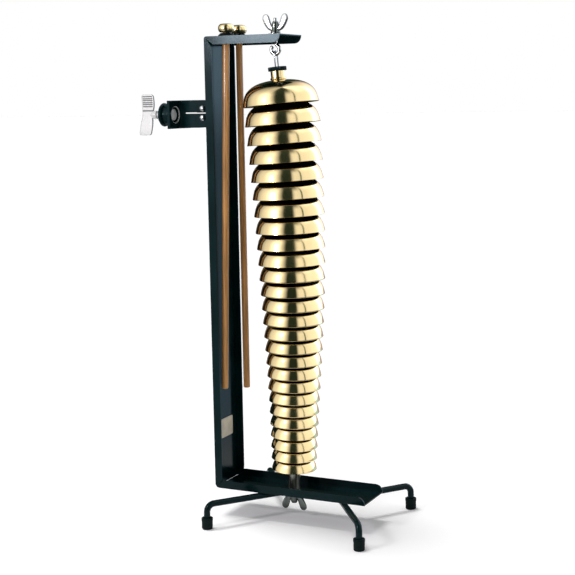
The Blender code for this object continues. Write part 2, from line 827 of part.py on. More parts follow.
def clamp_wing(mouth, look):
    """Screw, hub and wing in one, with ribs on the leading face of each arm."""
    hub_start = boss_length + gap + screw_travel
    hub_end = hub_start + wing_hub_length
    spindle = [
        (0, pad_swivel + gap),
        (screw_radius, pad_swivel + gap),
        (screw_radius, hub_start),
        (wing_hub_radius, hub_start),
        (wing_hub_radius, hub_end),
        (wing_hub_radius / 2, hub_end + wing_hub_nose),
        (0, hub_end + wing_hub_nose),
    ]
    wing = turned("clamp_wing", spindle, 16, look, mouth)
    tools = [wing_blade("wing_blade", hub_end, mouth)]
    for side, edge in ((-1, "lower"), (1, "upper")):
        for rib in range(wing_ribs):
            x = side * (wing_reach - wing_rib_inset - rib * wing_rib_pitch)
            y, z, thick, _ = wing_section(x, hub_end)
            wide = wing_rib_width / 2
            tall = wing_rib_length / 2
            bar = [(x - wide, z - tall), (x + wide, z - tall), (x + wide, z + tall), (x - wide, z + tall)]
            face = y - side * (thick + wing_rib_height)
            tools.append(extruded(f"wing_rib_{edge}_{rib}", bar, min(face, y), max(face, y), place=mouth))
    boolean(wing, "UNION", tools)


def clamp(black, chrome):
    """The clamp on the column's back: bracket, bolts, boss, pad and wing screw."""
    to_left = Matrix.Rotation(-math.pi / 2, 4, "Y")
    mouth = upright(column_back_x - clamp_reach, 0, clamp_z) @ to_left
    clamp_bracket(mouth, clamp_bolts(chrome), black)
    clamp_boss(mouth, black)
    clamp_pad(mouth, chrome)
    clamp_wing(mouth, chrome)


def main():
    """Builds the bell tree."""
    clear_scene()
    black = material("black_paint", (0.012, 0.022, 0.024), 0.32)
    rubber = material("black_rubber", (0.02, 0.026, 0.026), 0.6)
    brass = material("polished_brass", (0.82, 0.62, 0.3), 0.16, 1.0)
    chrome = material("chrome", (0.85, 0.86, 0.88), 0.12, 1.0)
    steel = material("zinc_steel", (0.62, 0.64, 0.66), 0.3, 1.0)
    wood = material("maple", (0.5, 0.28, 0.12), 0.5)
    series = bell_series()
    stand_frame(black)
    leg_and_feet("left", left_apex_x, left_feet_x, black, rubber)
    leg_and_feet("right", right_apex_x, right_feet_x, black, rubber)
    bells(series, brass)
    bell_rod(series, steel)
    post_tube(series, steel)
    string_head(series, brass, black, chrome)
    fasteners(chrome, black)
    mallets(wood, brass, rubber)
    clamp(black, chrome)


main()
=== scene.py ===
"""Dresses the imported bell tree: polished brass bells, black enamelled stand, chrome fittings, wooden mallets."""
import json
import math

import bmesh
import bpy
import numpy as np
from bpy.props import FloatProperty, FloatVectorProperty, IntProperty, PointerProperty
from mathutils import Matrix, Vector


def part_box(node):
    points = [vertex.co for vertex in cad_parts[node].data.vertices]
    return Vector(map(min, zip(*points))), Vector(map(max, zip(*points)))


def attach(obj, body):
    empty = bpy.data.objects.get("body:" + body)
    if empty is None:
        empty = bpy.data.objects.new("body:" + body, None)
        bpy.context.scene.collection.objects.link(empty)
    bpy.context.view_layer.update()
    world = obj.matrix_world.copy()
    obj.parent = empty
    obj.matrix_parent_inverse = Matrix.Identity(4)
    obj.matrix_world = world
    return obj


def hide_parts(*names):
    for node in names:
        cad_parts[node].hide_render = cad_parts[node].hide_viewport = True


bl_info = {
    "name": "Bell Tree",
    "version": (1, 0, 0),
    "blender": (4, 5, 0),
    "location": "View3D > Sidebar > Bell Tree",
    "description": "Smooth surfaces, finishes and a studio for a bell tree on its stand",
    "category": "Object",
}

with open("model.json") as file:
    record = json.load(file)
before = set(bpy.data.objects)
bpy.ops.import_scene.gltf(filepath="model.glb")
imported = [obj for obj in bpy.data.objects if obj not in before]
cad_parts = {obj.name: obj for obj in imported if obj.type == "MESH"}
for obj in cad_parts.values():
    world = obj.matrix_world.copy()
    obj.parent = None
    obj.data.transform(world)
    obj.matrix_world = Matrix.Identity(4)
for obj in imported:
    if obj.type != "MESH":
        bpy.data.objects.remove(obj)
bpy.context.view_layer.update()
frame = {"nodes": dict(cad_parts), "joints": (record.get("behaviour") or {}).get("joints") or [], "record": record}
hinges = {joint["child"]: joint for joint in frame["joints"]}
bell_names = sorted(name for name in frame["nodes"] if name.startswith("bell_") and name != "bell_rod")
column_back_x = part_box("stand_frame")[0].x
base_underside_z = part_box("stand_frame")[0].z
column_top_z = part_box("stand_frame")[1].z
up = (0.0, 0.0, 1.0)


def size(name, description, default):
    """A length in metres that a user may change."""
    return FloatProperty(name=name, description=description, default=default, subtype="DISTANCE", precision=5)


def colour(name, description, default):
    """A linear colour that a user may change."""
    return FloatVectorProperty(name=name, description=description, subtype="COLOR", size=3, default=default)


class StandSizes(bpy.types.PropertyGroup):
    """Sizes of the stand's legs, feet and plate."""

    edge: size("Edge", "Rounding along the folded sheet", 0.0007)
    leg: size("Leg", "Radius of a leg rod", 0.005)
    knee: size("Knee", "Bend above a foot", 0.012)
    apex: size("Apex", "Bend of a leg rod under the base", 0.015)
    left_apex: size("Left apex", "Corner of the left rod from the column's back", 0.106)
    right_apex: size("Right apex", "Corner of the right rod from the column's back", 0.199)
    foot: size("Foot", "Radius of a foot", 0.0085)
    foot_ring: size("Foot ring", "How far the ring on a foot stands out", 0.0004)
    foot_floor: size("Foot floor", "Rubber under the rod", 0.006)
    plate_width: size("Plate width", "Width of the bare plate in the column", 0.04)
    plate_height: size("Plate height", "Height of the bare plate", 0.031)
    plate_z: size("Plate place", "Height of the plate's middle above the floor", 0.135)


class BellSizes(bpy.types.PropertyGroup):
    """Sizes of the bells, which are drawn finer than the solids."""

    wall: size("Wall", "Thickness of the brass", 0.0016)
    flare: FloatProperty(name="Lip flare", description="Part of the radius added at the lip", default=0.025)
    squareness: FloatProperty(name="Squareness", description="Exponent of the top bell's section", default=2.55)
    squareness_low: FloatProperty(name="Low squareness", description="Exponent of the lowest bell's", default=1.95)
    flare_low: FloatProperty(name="Low lip flare", description="Lip flare of the lowest bell", default=0.015)
    spread_low: FloatProperty(name="Low spread", description="Part added to the lowest bell's rim", default=0.045)
    hole: size("Hole", "Radius of the bore at the crown", 0.00415)
    sides: IntProperty(name="Sides", description="Steps around each bell", default=112)


class StringSizes(bpy.types.PropertyGroup):
    """Sizes of the rod, its spacers and what holds it."""

    rod: size("Rod", "Radius of the bowed rod", 0.00325)
    spacer: size("Spacer", "Radius of a spacer", 0.006)
    post: size("Post", "Radius of the tube under the lowest bell", 0.0095)
    ferrule: size("Ferrule", "Radius of the brass ferrule", 0.0108)
    ferrule_ring: size("Ferrule ring", "Radius of the ring at its foot", 0.0122)
    ferrule_height: size("Ferrule height", "Height of the ferrule", 0.0133)
    cap: size("Cap", "Radius of the knurled cap", 0.0141)
    cap_height: size("Cap height", "Height of the cap", 0.0057)
    bail: size("Bail wire", "Radius of the bail's wire", 0.00125)
    bail_half: size("Bail half width", "From the axis to a leg of the bail", 0.0049)
    bail_height: size("Bail height", "From the cap to the bail's middle line", 0.0237)
    hook: size("Hook wire", "Radius of the hook's wire", 0.0028)
    hook_ring: size("Hook ring", "Middle radius of the hook's ring", 0.00675)
    hook_x: size("Hook place", "Hook from the column's back", 0.1035)
    rod_x: size("Rod place", "Rod's foot from the column's back", 0.121)


class ClampSizes(bpy.types.PropertyGroup):
    """Sizes of the clamp's boss, screw and wing."""

    screw: size("Screw", "Radius of the screw", 0.004)
    flange: size("Flange", "Radius of the boss where it meets the jaw", 0.0165)
    flange_length: size("Flange length", "Thickness of that flange", 0.0025)
    neck: size("Neck", "Radius of the boss between flange and disc", 0.013)
    disc: size("Disc", "Radius of the boss's disc", 0.0186)
    disc_length: size("Disc length", "Thickness of the disc", 0.005)
    disc_round: size("Disc rounding", "Rounding of the disc's rim", 0.0016)
    boss: size("Boss", "Length of the boss", 0.0175)
    rib: size("Rib", "Width of the rib along the boss's top", 0.012)
    hub: size("Hub", "Radius of the wing's hub", 0.0065)
    hub_start: size("Hub start", "From the jaw to the hub", 0.028)
    hub_end: size("Hub end", "From the jaw to the blade", 0.0346)
    hub_nose: size("Hub nose", "How far the hub runs into the blade", 0.005)
    wing: size("Wing width", "Width of the blade near its tips", 0.0225)
    wing_root: size("Wing root", "Width of the blade at the hub", 0.019)
    wing_reach: size("Wing reach", "From the screw to a tip", 0.0325)
    wing_flare: size("Wing flare", "Where the blade has its full width", 0.017)
    wing_tip: size("Wing tip", "Rounding of a tip's corners", 0.0045)
    wing_root_thick: size("Root thickness", "Thickness at the hub", 0.0044)
    wing_tip_thick: size("Tip thickness", "Thickness at a tip", 0.003)
    wing_sweep: size("Wing sweep", "How far each arm bends to its side", 0.0045)
    wing_lean: size("Wing lean", "How far the tips lean away from the jaw", 0.003)
    rib_inset: size("Rib inset", "From a tip to the middle of its first rib", 0.0052)
    rib_pitch: size("Rib pitch", "From rib to rib", 0.0062)
    rib_width: size("Rib width", "Width of a rib", 0.0032)
    rib_length: size("Rib length", "Length of a rib", 0.016)
    rib_height: size("Rib height", "How far a rib stands out", 0.0007)
    # painted shade: the groove across each arm is only a dark painted line, with no cut in the blade
    root_line: size("Root line", "From the screw to the groove across each arm", 0.0065)


class FinishColours(bpy.types.PropertyGroup):
    """Base colours of the finishes."""

    brass: colour("Brass", "Polished bell brass", (0.93, 0.735, 0.395))
    # painted shade: the bells' inner faces are near black, so the gaps under each rim and their reflections in the
    # bell below read dark
    inside: colour("Inside", "Dull brass inside the bells", (0.026, 0.028, 0.016))
    enamel: colour("Enamel", "Black stand enamel", (0.002, 0.0105, 0.0115))
    chrome: colour("Chrome", "Bright plated steel", (0.49, 0.5, 0.51))
    satin: colour("Satin plate", "Dull plate of the wing screw", (0.66, 0.67, 0.66))
    # painted shade: dark lines beside the wing's ribs, across each arm and along the blade's rim
    wing_shade: colour("Grooves", "Darker lines beside the wing's ribs", (0.07, 0.075, 0.085))
    # painted reflection: the pad's face is near white and matt, standing in for the bright reflection of the steel pad
    # deep in its hole
    disc: colour("Disc", "Light face of the clamp's pad", (0.93, 0.93, 0.92))
    # painted shade: a dark copy of the chrome for the nuts' barrels and the lower nut's wings, standing in for the
    # shade and dark reflections they show
    chrome_in_shade: colour("Shaded chrome", "Plate of the nuts' barrels", (0.14, 0.16, 0.15))
    zinc: colour("Zinc", "Dull plated steel", (0.29, 0.3, 0.26))
    wood: colour("Wood", "Mallet dowels", (0.44, 0.212, 0.062))
    rubber: colour("Rubber", "Feet and grommets", (0.003, 0.0085, 0.0085))
    plate: colour("Plate", "Bare plate in the column", (0.66, 0.59, 0.45))


class StudioSizes(bpy.types.PropertyGroup):
    """Camera and light."""

    heading: FloatProperty(name="Heading", description="Camera turn", default=math.radians(25.939), subtype="ANGLE")
    tilt: FloatProperty(name="Tilt", description="Camera tilt", default=math.radians(-8.242), subtype="ANGLE")
    roll: FloatProperty(name="Roll", description="Camera roll", default=math.radians(1.044), subtype="ANGLE")
    lens: FloatProperty(name="Lens", description="Focal length in millimetres", default=83.25)
    right: size("Right", "Camera place along X", 0.93555)
    ahead: size("Ahead", "Camera place along Y", -1.83511)
    rise: size("Rise", "Camera place along Z", 0.66244)
    ambient: FloatProperty(name="Ambient", description="Light from all round", default=0.37)
    sun: FloatProperty(name="Sun", description="Strength of the light that throws the shadow", default=1.85)
    key: FloatProperty(name="Key", description="Power of the soft lamp at the upper left", default=6.6)


def shade(base, factor):
    """A colour made lighter or darker."""
    return tuple(min(1.0, part * factor) for part in base)


def new_group(name, inputs, outputs):
    """A shader node group with named float or colour sockets."""
    group = bpy.data.node_groups.new(name, "ShaderNodeTree")
    for label, kind, default in inputs:
        socket = group.interface.new_socket(label, in_out="INPUT", socket_type=kind)
        socket.default_value = default
    for label, kind in outputs:
        group.interface.new_socket(label, in_out="OUTPUT", socket_type=kind)
    return group, group.nodes.new("NodeGroupInput"), group.nodes.new("NodeGroupOutput")


def stretched_noise_group():
    """Noise on Object coordinates with its own scale on each axis, for grain, smears and turning lines."""
    inputs = [
        ("Scale", "NodeSocketFloat", 10.0),
        ("Detail", "NodeSocketFloat", 4.0),
        ("Stretch", "NodeSocketVector", (1.0, 1.0, 1.0)),
    ]
    group, given, result = new_group("stretched_noise", inputs, [("Factor", "NodeSocketFloat")])
    nodes, links = group.nodes, group.links
    coords = nodes.new("ShaderNodeTexCoord")
    product = nodes.new("ShaderNodeVectorMath")
    product.operation = "MULTIPLY"
    noise = nodes.new("ShaderNodeTexNoise")
    links.new(coords.outputs["Object"], product.inputs[0])
    links.new(given.outputs["Stretch"], product.inputs[1])
    links.new(product.outputs["Vector"], noise.inputs["Vector"])
    links.new(given.outputs["Scale"], noise.inputs["Scale"])
    links.new(given.outputs["Detail"], noise.inputs["Detail"])
    links.new(noise.outputs["Fac"], result.inputs["Factor"])
    return group


def varied_finish_group():
    """Mixes two colours and two roughness values by a factor whose contrast can be raised."""
    inputs = [
        ("Factor", "NodeSocketFloat", 0.5),
        ("Low", "NodeSocketFloat", 0.3),
        ("High", "NodeSocketFloat", 0.7),
        ("Dark", "NodeSocketColor", (0.1, 0.1, 0.1, 1.0)),
        ("Light", "NodeSocketColor", (0.5, 0.5, 0.5, 1.0)),
        ("Smooth", "NodeSocketFloat", 0.1),
        ("Rough", "NodeSocketFloat", 0.3),
    ]
    outputs = [("Color", "NodeSocketColor"), ("Roughness", "NodeSocketFloat")]
    group, given, result = new_group("varied_finish", inputs, outputs)
    nodes, links = group.nodes, group.links
    contrast = nodes.new("ShaderNodeMapRange")
    mix = nodes.new("ShaderNodeMix")
    mix.data_type = "RGBA"
    rough = nodes.new("ShaderNodeMapRange")
    links.new(given.outputs["Factor"], contrast.inputs["Value"])
    links.new(given.outputs["Low"], contrast.inputs["From Min"])
    links.new(given.outputs["High"], contrast.inputs["From Max"])
    links.new(contrast.outputs["Result"], mix.inputs["Factor"])
    links.new(given.outputs["Dark"], mix.inputs["A"])
    links.new(given.outputs["Light"], mix.inputs["B"])
    links.new(contrast.outputs["Result"], rough.inputs["Value"])
    links.new(given.outputs["Smooth"], rough.inputs["To Min"])
    links.new(given.outputs["Rough"], rough.inputs["To Max"])
    links.new(mix.outputs["Result"], result.inputs["Color"])
    links.new(rough.outputs["Result"], result.inputs["Roughness"])
    return group


def masked_finish_group():
    """Replaces a colour and a roughness by painted shade, a darker colour with its own roughness, where a mask is 1.
    """
    inputs = [
        ("Mask", "NodeSocketFloat", 0.0),
        ("Color", "NodeSocketColor", (0.5, 0.5, 0.5, 1.0)),
        ("Roughness", "NodeSocketFloat", 0.2),
        # Dull and Dull roughness carry the painted shade
        ("Dull", "NodeSocketColor", (0.1, 0.1, 0.1, 1.0)),
        ("Dull roughness", "NodeSocketFloat", 0.5),
    ]
    outputs = [("Color", "NodeSocketColor"), ("Roughness", "NodeSocketFloat")]
    group, given, result = new_group("masked_finish", inputs, outputs)
    nodes, links = group.nodes, group.links
    mix = nodes.new("ShaderNodeMix")
    mix.data_type = "RGBA"
    rough = nodes.new("ShaderNodeMix")
    rough.data_type = "FLOAT"
    links.new(given.outputs["Mask"], mix.inputs["Factor"])
    links.new(given.outputs["Color"], mix.inputs["A"])
    links.new(given.outputs["Dull"], mix.inputs["B"])
    links.new(given.outputs["Mask"], rough.inputs["Factor"])
    links.new(given.outputs["Roughness"], rough.inputs["A"])
    links.new(given.outputs["Dull roughness"], rough.inputs["B"])
    links.new(mix.outputs["Result"], result.inputs["Color"])
    links.new(rough.outputs["Result"], result.inputs["Roughness"])
    return group


def round_ramp(nodes, links, share, stops):
    """Brightness once round by heading: a linear ramp through (degrees, tint, level)."""
    node = nodes.new("ShaderNodeValToRGB")
    elements = node.color_ramp.elements
    while len(elements) < len(stops):
        elements.new(0.5)
    for element, (degrees, tint, level) in zip(elements, stops):
        element.position = (degrees + 180) / 360
        element.color = (*[part * level / panel_peak for part in tint], 1.0)
    links.new(share, node.inputs["Fac"])
    return node.outputs["Color"]


def studio_walls_group(heading):
    """Brightness of the studio for what shows in gloss: soft panels with unlit gaps, and a ceiling dark at left.

    Both ramps run once round, from behind the object over the left, the camera and the right.
    """
    group, given, result = new_group("studio_walls", [], [("Color", "NodeSocketColor")])
    group.interface.new_socket("Vector", in_out="INPUT", socket_type="NodeSocketVector")
    nodes, links = group.nodes, group.links
    unit = nodes.new("ShaderNodeVectorMath")
    unit.operation = "NORMALIZE"
    turn = nodes.new("ShaderNodeVectorRotate")
    turn.rotation_type = "Z_AXIS"
    turn.inputs["Angle"].default_value = math.pi / 2 - heading
    split = nodes.new("ShaderNodeSeparateXYZ")
    angle = nodes.new("ShaderNodeMath")
    angle.operation = "ARCTAN2"
    share = nodes.new("ShaderNodeMapRange")
    share.inputs["From Min"].default_value = -math.pi
    share.inputs["From Max"].default_value = math.pi
    high = nodes.new("ShaderNodeMapRange")
    high.interpolation_type = "SMOOTHSTEP"
    high.inputs["From Min"].default_value = 0.5
    high.inputs["From Max"].default_value = 0.95
    links.new(given.outputs["Vector"], unit.inputs[0])
    links.new(unit.outputs["Vector"], turn.inputs["Vector"])
    links.new(turn.outputs["Vector"], split.inputs["Vector"])
    links.new(split.outputs["Y"], angle.inputs[0])
    links.new(split.outputs["X"], angle.inputs[1])
    links.new(angle.outputs["Value"], share.inputs["Value"])
    links.new(split.outputs["Z"], high.inputs["Value"])
    white = (1.0, 1.0, 1.0)
    dark = (0.02, 0.032, 0.024)
    blue = (0.55, 0.8, 1.0)
    warm = (1.0, 0.9, 0.95)
    walls = [
        (-180, dark, 1.5),
        (-140, dark, 1.5),
        (-118, white, 0.5),
        (-100, white, 0.9),
        (-84, white, 1.05),
        (-66, white, 1.7),
        (-52, white, panel_peak),
        (-38, white, 1.2),
        (-27, white, 0.5),
        (-20, dark, 1.0),
        (12, dark, 1.0),
        (17, white, 0.75),
        (24, white, 1.08),
        (43, white, 1.08),
        (45, dark, 5.0),
        (48, dark, 5.0),
        (50, white, 1.12),
        (85, white, 1.3),
        (106, white, 1.4),
        (115, blue, 3.0),
        (131, blue, 3.0),
        (139, warm, 1.9),
        (160, warm, 1.2),
        (175, dark, 1.5),
    ]
    ceiling = [
        (-180, dark, 3.0),
        (-120, white, 0.3),
        (-70, white, 0.75),
        (-38, white, 0.5),
        (-30, dark, 1.5),
        (30, dark, 1.5),
        (50, white, 1.0),
        (75, white, panel_peak),
        (110, white, 1.7),
        (150, white, 0.6),
        (175, dark, 3.0),
    ]
    mix = nodes.new("ShaderNodeMix")
    mix.data_type = "RGBA"
    bright = nodes.new("ShaderNodeVectorMath")
    bright.operation = "SCALE"
    bright.inputs["Scale"].default_value = panel_peak
    links.new(high.outputs["Result"], mix.inputs["Factor"])
    links.new(round_ramp(nodes, links, share.outputs["Result"], walls), mix.inputs["A"])
    links.new(round_ramp(nodes, links, share.outputs["Result"], ceiling), mix.inputs["B"])
    links.new(mix.outputs["Result"], bright.inputs[0])
    links.new(bright.outputs["Vector"], result.inputs["Color"])
    return group


class Finish:
    """A Principled material built from the shared groups."""

    def __init__(self, name, base, metallic=0.0, coat=0.0):
        self.made = bpy.data.materials.new(name)
        self.made.use_nodes = True
        self.base = base
        self.tree = self.made.node_tree
        self.shader = self.tree.nodes["Principled BSDF"]
        self.shader.inputs["Base Color"].default_value = (*base, 1.0)
        self.shader.inputs["Metallic"].default_value = metallic
        self.shader.inputs["Coat Weight"].default_value = coat

    def place(self, group, **values):
        """Adds a group node with its own values."""
        node = self.tree.nodes.new("ShaderNodeGroup")
        node.node_tree = groups_made[group]
        for label, value in values.items():
            node.inputs[label].default_value = value
        return node

    def noise(self, scale, stretch=(1.0, 1.0, 1.0), detail=4.0):
        """Socket of a stretched noise."""
        return self.place("stretched_noise", Scale=scale, Stretch=stretch, Detail=detail).outputs["Factor"]

    def vary(self, factor, dark, light, smooth, rough, low=0.35, high=0.65):
        """Base colour and roughness that follow a factor."""
        values = {"Dark": (*shade(self.base, dark), 1.0), "Light": (*shade(self.base, light), 1.0)}
        node = self.place("varied_finish", Low=low, High=high, Smooth=smooth, Rough=rough, **values)
        self.tree.links.new(factor, node.inputs["Factor"])
        self.tree.links.new(node.outputs["Color"], self.shader.inputs["Base Color"])
        self.tree.links.new(node.outputs["Roughness"], self.shader.inputs["Roughness"])
        return self

    def blended(self, first, second, share):
        """A mix of two factors."""
        node = self.tree.nodes.new("ShaderNodeMix")
        node.data_type = "FLOAT"
        node.inputs["Factor"].default_value = share
        self.tree.links.new(first, node.inputs["A"])
        self.tree.links.new(second, node.inputs["B"])
        return node.outputs["Result"]

    def masked(self, painted_shade, roughness):
        """Painted shade: a darker colour and its own roughness where the vertex mask is 1."""
        node = self.place("masked_finish", **{"Dull": (*painted_shade, 1.0), "Dull roughness": roughness})
        source = self.tree.nodes.new("ShaderNodeAttribute")
        source.attribute_name = "painted_shade"
        for label, socket in (("Color", "Base Color"), ("Roughness", "Roughness")):
            self.tree.links.new(self.shader.inputs[socket].links[0].from_socket, node.inputs[label])
            self.tree.links.new(node.outputs[label], self.shader.inputs[socket])
        self.tree.links.new(source.outputs["Fac"], node.inputs["Mask"])
        return self

    def relief(self, factor, strength, distance):
        """Bump from a factor."""
        node = self.tree.nodes.new("ShaderNodeBump")
        node.inputs["Strength"].default_value = strength
        node.inputs["Distance"].default_value = distance
        self.tree.links.new(factor, node.inputs["Height"])
        self.tree.links.new(node.outputs["Normal"], self.shader.inputs["Normal"])
        return self


groups_made = {}
finishes = {}
panel_peak = 2.0


def brass_finish(base, inside):
    """Polished brass: faint turning lines round each bell and soft patches of tarnish; its inner faces are painted
    shade, near black and rough.
    """
    made = Finish("polished_brass", base, metallic=1.0)
    made.vary(made.noise(24.0, (1.0, 1.0, 0.45)), 0.86, 1.02, 0.07, 0.17)
    # painted shade on the bells' inner faces
    made.masked(inside, 0.5)
    lines = made.noise(55.0, (0.03, 0.03, 24.0))
    waves = made.noise(60.0, (0.5, 0.5, 3.0), 5.0)
    made.relief(made.blended(lines, waves, 0.75), 0.16, 0.0005)
    return made.made


def enamel_finish(base):
    """Black enamel with a slight orange peel and thinner patches."""
    made = Finish("black_enamel", base)
    made.shader.inputs["Specular IOR Level"].default_value = 0.13
    made.shader.inputs["Specular Tint"].default_value = (0.68, 0.9, 1.0, 1.0)
    made.vary(made.noise(15.0), 0.8, 1.4, 0.12, 0.19)
    made.relief(made.noise(700.0, detail=2.0), 0.1, 0.0002)
    return made.made


def chrome_finish(name, base):
    """Plate with faint smears: bright, or darkened as painted shade when given the darker colour."""
    made = Finish(name, base, metallic=1.0)
    smears = made.noise(110.0, (1.0, 1.0, 0.4))
    made.vary(smears, 0.94, 1.04, 0.05, 0.18)
    return made.relief(smears, 0.05, 0.0002).made


def satin_finish(base, wing_shade):
    """Cast metal under a thin plate: soft gloss with fine grain, with painted shade in darker lines on the blade."""
    made = Finish("satin_plate", base, metallic=0.15)
    grain = made.noise(420.0, detail=3.0)
    made.vary(grain, 0.9, 1.06, 0.4, 0.5)
    # painted shade along the lines that the blade's mask marks
    made.masked(wing_shade, 0.55)
    return made.relief(grain, 0.12, 0.0002).made


def disc_finish(base):
    """The pad's face: light metal painted near white and matt, which paints in the bright reflection that the steel
    pad shows, with turned rings.
    """
    made = Finish("matt_disc", base)
    made.vary(made.noise(300.0, (0.1, 1.0, 1.0)), 0.9, 1.05, 0.4, 0.55)
    return made.made


def zinc_finish(base):
    """Dull plated steel with drawing marks along the rod."""
    made = Finish("dull_zinc", base, metallic=1.0)
    marks = made.noise(260.0, (1.0, 1.0, 0.06))
    made.vary(marks, 0.75, 1.25, 0.22, 0.42)
    return made.relief(marks, 0.1, 0.0002).made


def wood_finish(base):
    """Lacquered dowel with long dark and light fibres."""
    made = Finish("lacquered_dowel", base, coat=0.25)
    fibres = made.noise(330.0, (1.0, 1.0, 0.035), 6.0)
    made.vary(fibres, 0.55, 1.5, 0.26, 0.45, 0.3, 0.7)
    return made.relief(fibres, 0.18, 0.0003).made


def rubber_finish(base):
    """Moulded rubber, matt with fine pores."""
    made = Finish("moulded_rubber", base)
    made.shader.inputs["Specular IOR Level"].default_value = 0.08
    pores = made.noise(1300.0, detail=3.0)
    made.vary(pores, 0.7, 1.6, 0.42, 0.65)
    return made.relief(pores, 0.25, 0.0003).made


def plate_finish(base):
    """Cream plate, printed smooth and left bare, with a little yellowing."""
    made = Finish("cream_plate", base)
    made.vary(made.noise(60.0), 0.85, 1.1, 0.3, 0.45)
    return made.made


def welded(mesh):
    """Merges seams and poles and points all faces out."""
    shape = bmesh.new()
    shape.from_mesh(mesh)
    bmesh.ops.remove_doubles(shape, verts=shape.verts, dist=1e-7)
    bmesh.ops.recalc_face_normals(shape, faces=shape.faces)
    shape.to_mesh(mesh)
    shape.free()


def add_piece(name, points, across, finish, body, node=None, sharp=None, painted_shade=None):
    """A mesh from rows of points whose columns wrap; rows wrap too if asked. It rides and replaces as told.

    A mask of painted shade, one value a row or a point, becomes a vertex attribute that the finish reads.
    """
    rows, columns = points.shape[:2]
    index = np.arange(rows * columns).reshape(rows, columns)
    right = np.roll(index, -1, axis=1)
    down = np.roll(index, -1, axis=0)
    quads = np.stack([index, right, np.roll(down, -1, axis=1), down], axis=-1)
    if not across:
        quads = quads[:-1]
    mesh = bpy.data.meshes.new(name)
    mesh.from_pydata(points.reshape(-1, 3).tolist(), [], quads.reshape(-1, 4).tolist())
    if painted_shade is not None:
        mask = mesh.attributes.new("painted_shade", "FLOAT", "POINT")
        spread = np.broadcast_to(np.asarray(painted_shade, np.float32).reshape(rows, -1), (rows, columns))
        mask.data.foreach_set("value", spread.ravel())
    welded(mesh)
    mesh.shade_smooth()
    if sharp:
        mesh.set_sharp_from_angle(angle=math.radians(sharp))
    piece = bpy.data.objects.new(name, mesh)
    bpy.context.scene.collection.objects.link(piece)
    return carried(piece, finish, body, node)


def carried(piece, finish, body, node=None):
    """Gives a piece its finish, its body and the node that it stands for."""
    piece.data.materials.clear()
    piece.data.materials.append(finishes[finish])
    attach(piece, body)
    if node:
        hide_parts(node)
    return piece


def rings(centres, axes, radii, sides, side=(0.0, 1.0, 0.0)):
    """Circles: centre + radius (cos, sin) in the plane square to each axis, turned from one side vector."""
    centres = np.asarray(centres, float)
    axes = np.asarray(axes, float)
    axes = axes / np.linalg.norm(axes, axis=1, keepdims=True)
    first = np.cross(np.asarray(side, float), axes)
    first /= np.linalg.norm(first, axis=1, keepdims=True)
    second = np.cross(axes, first)
    turns = np.linspace(0.0, math.tau, sides, endpoint=False)
    spread = np.cos(turns)[None, :, None] * first[:, None] + np.sin(turns)[None, :, None] * second[:, None]
    return centres[:, None] + np.asarray(radii, float)[:, None, None] * spread


def softened(corners, radius, steps=4, closed=False):
    """Replaces each corner of a section by a parabola: (1-t)^2 A + 2t(1-t) B + t^2 C."""
    corners = np.asarray(corners, float)
    before = np.roll(corners, 1, axis=0)
    after = np.roll(corners, -1, axis=0)
    reach = np.broadcast_to(np.asarray(radius, float), (len(corners),))[:, None]
    back = before - corners
    ahead = after - corners
    back_length = np.linalg.norm(back, axis=1, keepdims=True)
    ahead_length = np.linalg.norm(ahead, axis=1, keepdims=True)
    start = corners + back * np.minimum(reach / back_length, 0.45)
    end = corners + ahead * np.minimum(reach / ahead_length, 0.45)
    t = np.linspace(0.0, 1.0, steps)[None, :, None]
    curve = (1 - t) ** 2 * start[:, None] + 2 * t * (1 - t) * corners[:, None] + t ** 2 * end[:, None]
    if not closed:
        curve[0] = corners[0]
        curve[-1] = corners[-1]
    return curve.reshape(-1, corners.shape[1])


def turned(name, section, place, axis, finish, body, node=None, sides=64, edge=0.0003, closed=False, knurl=None):
    """Surface of revolution of a softened section; a knurl is (count, depth) of grooves on the outer side."""
    section = softened(section, edge, closed=closed)
    centres = np.asarray(place, float) + section[:, 1:] * np.asarray(axis, float)
    axes = np.broadcast_to(np.asarray(axis, float), centres.shape)
    side = (0.0, 0.0, 1.0) if abs(axis[1]) > 0.9 else (0.0, 1.0, 0.0)
    points = rings(centres, axes, section[:, 0], sides, side)
    if knurl:
        count, depth = knurl
        turns = np.linspace(0.0, math.tau, sides, endpoint=False)
        outer = (section[:, 0] / section[:, 0].max()) ** 12
        bite = outer[:, None] * (0.5 - 0.5 * np.cos(count * turns))[None] * depth / section[:, 0].max()
        points = centres[:, None] + (points - centres[:, None]) * (1 - bite)[..., None]
    return add_piece(name, points, closed, finish, body, node)


def fillet_path(corners, radii, step=0.0012):
    """Points of a bent rod: straight runs and arcs; an arc is centre + sin-weighted sum of its two end arms."""
    corners = np.asarray(corners, float)
    parts = [corners[:1]]
    for before, corner, after, radius in zip(corners[:-2], corners[1:-1], corners[2:], radii):
        back = (before - corner) / np.linalg.norm(before - corner)
        ahead = (after - corner) / np.linalg.norm(after - corner)
        half = np.arccos(np.clip(back @ ahead, -1, 1)) / 2
        centre = corner + (back + ahead) / np.linalg.norm(back + ahead) * radius / np.sin(half)
        first = corner + back * radius / np.tan(half) - centre
        last = corner + ahead * radius / np.tan(half) - centre
        sweep = math.pi - 2 * half
        t = np.linspace(0.0, 1.0, max(4, int(radius * sweep / step)))[:, None]
        arc = (np.sin((1 - t) * sweep) * first + np.sin(t * sweep) * last) / np.sin(sweep)
        parts.append(centre + arc)
    parts.append(corners[-1:])
    return np.concatenate(parts)


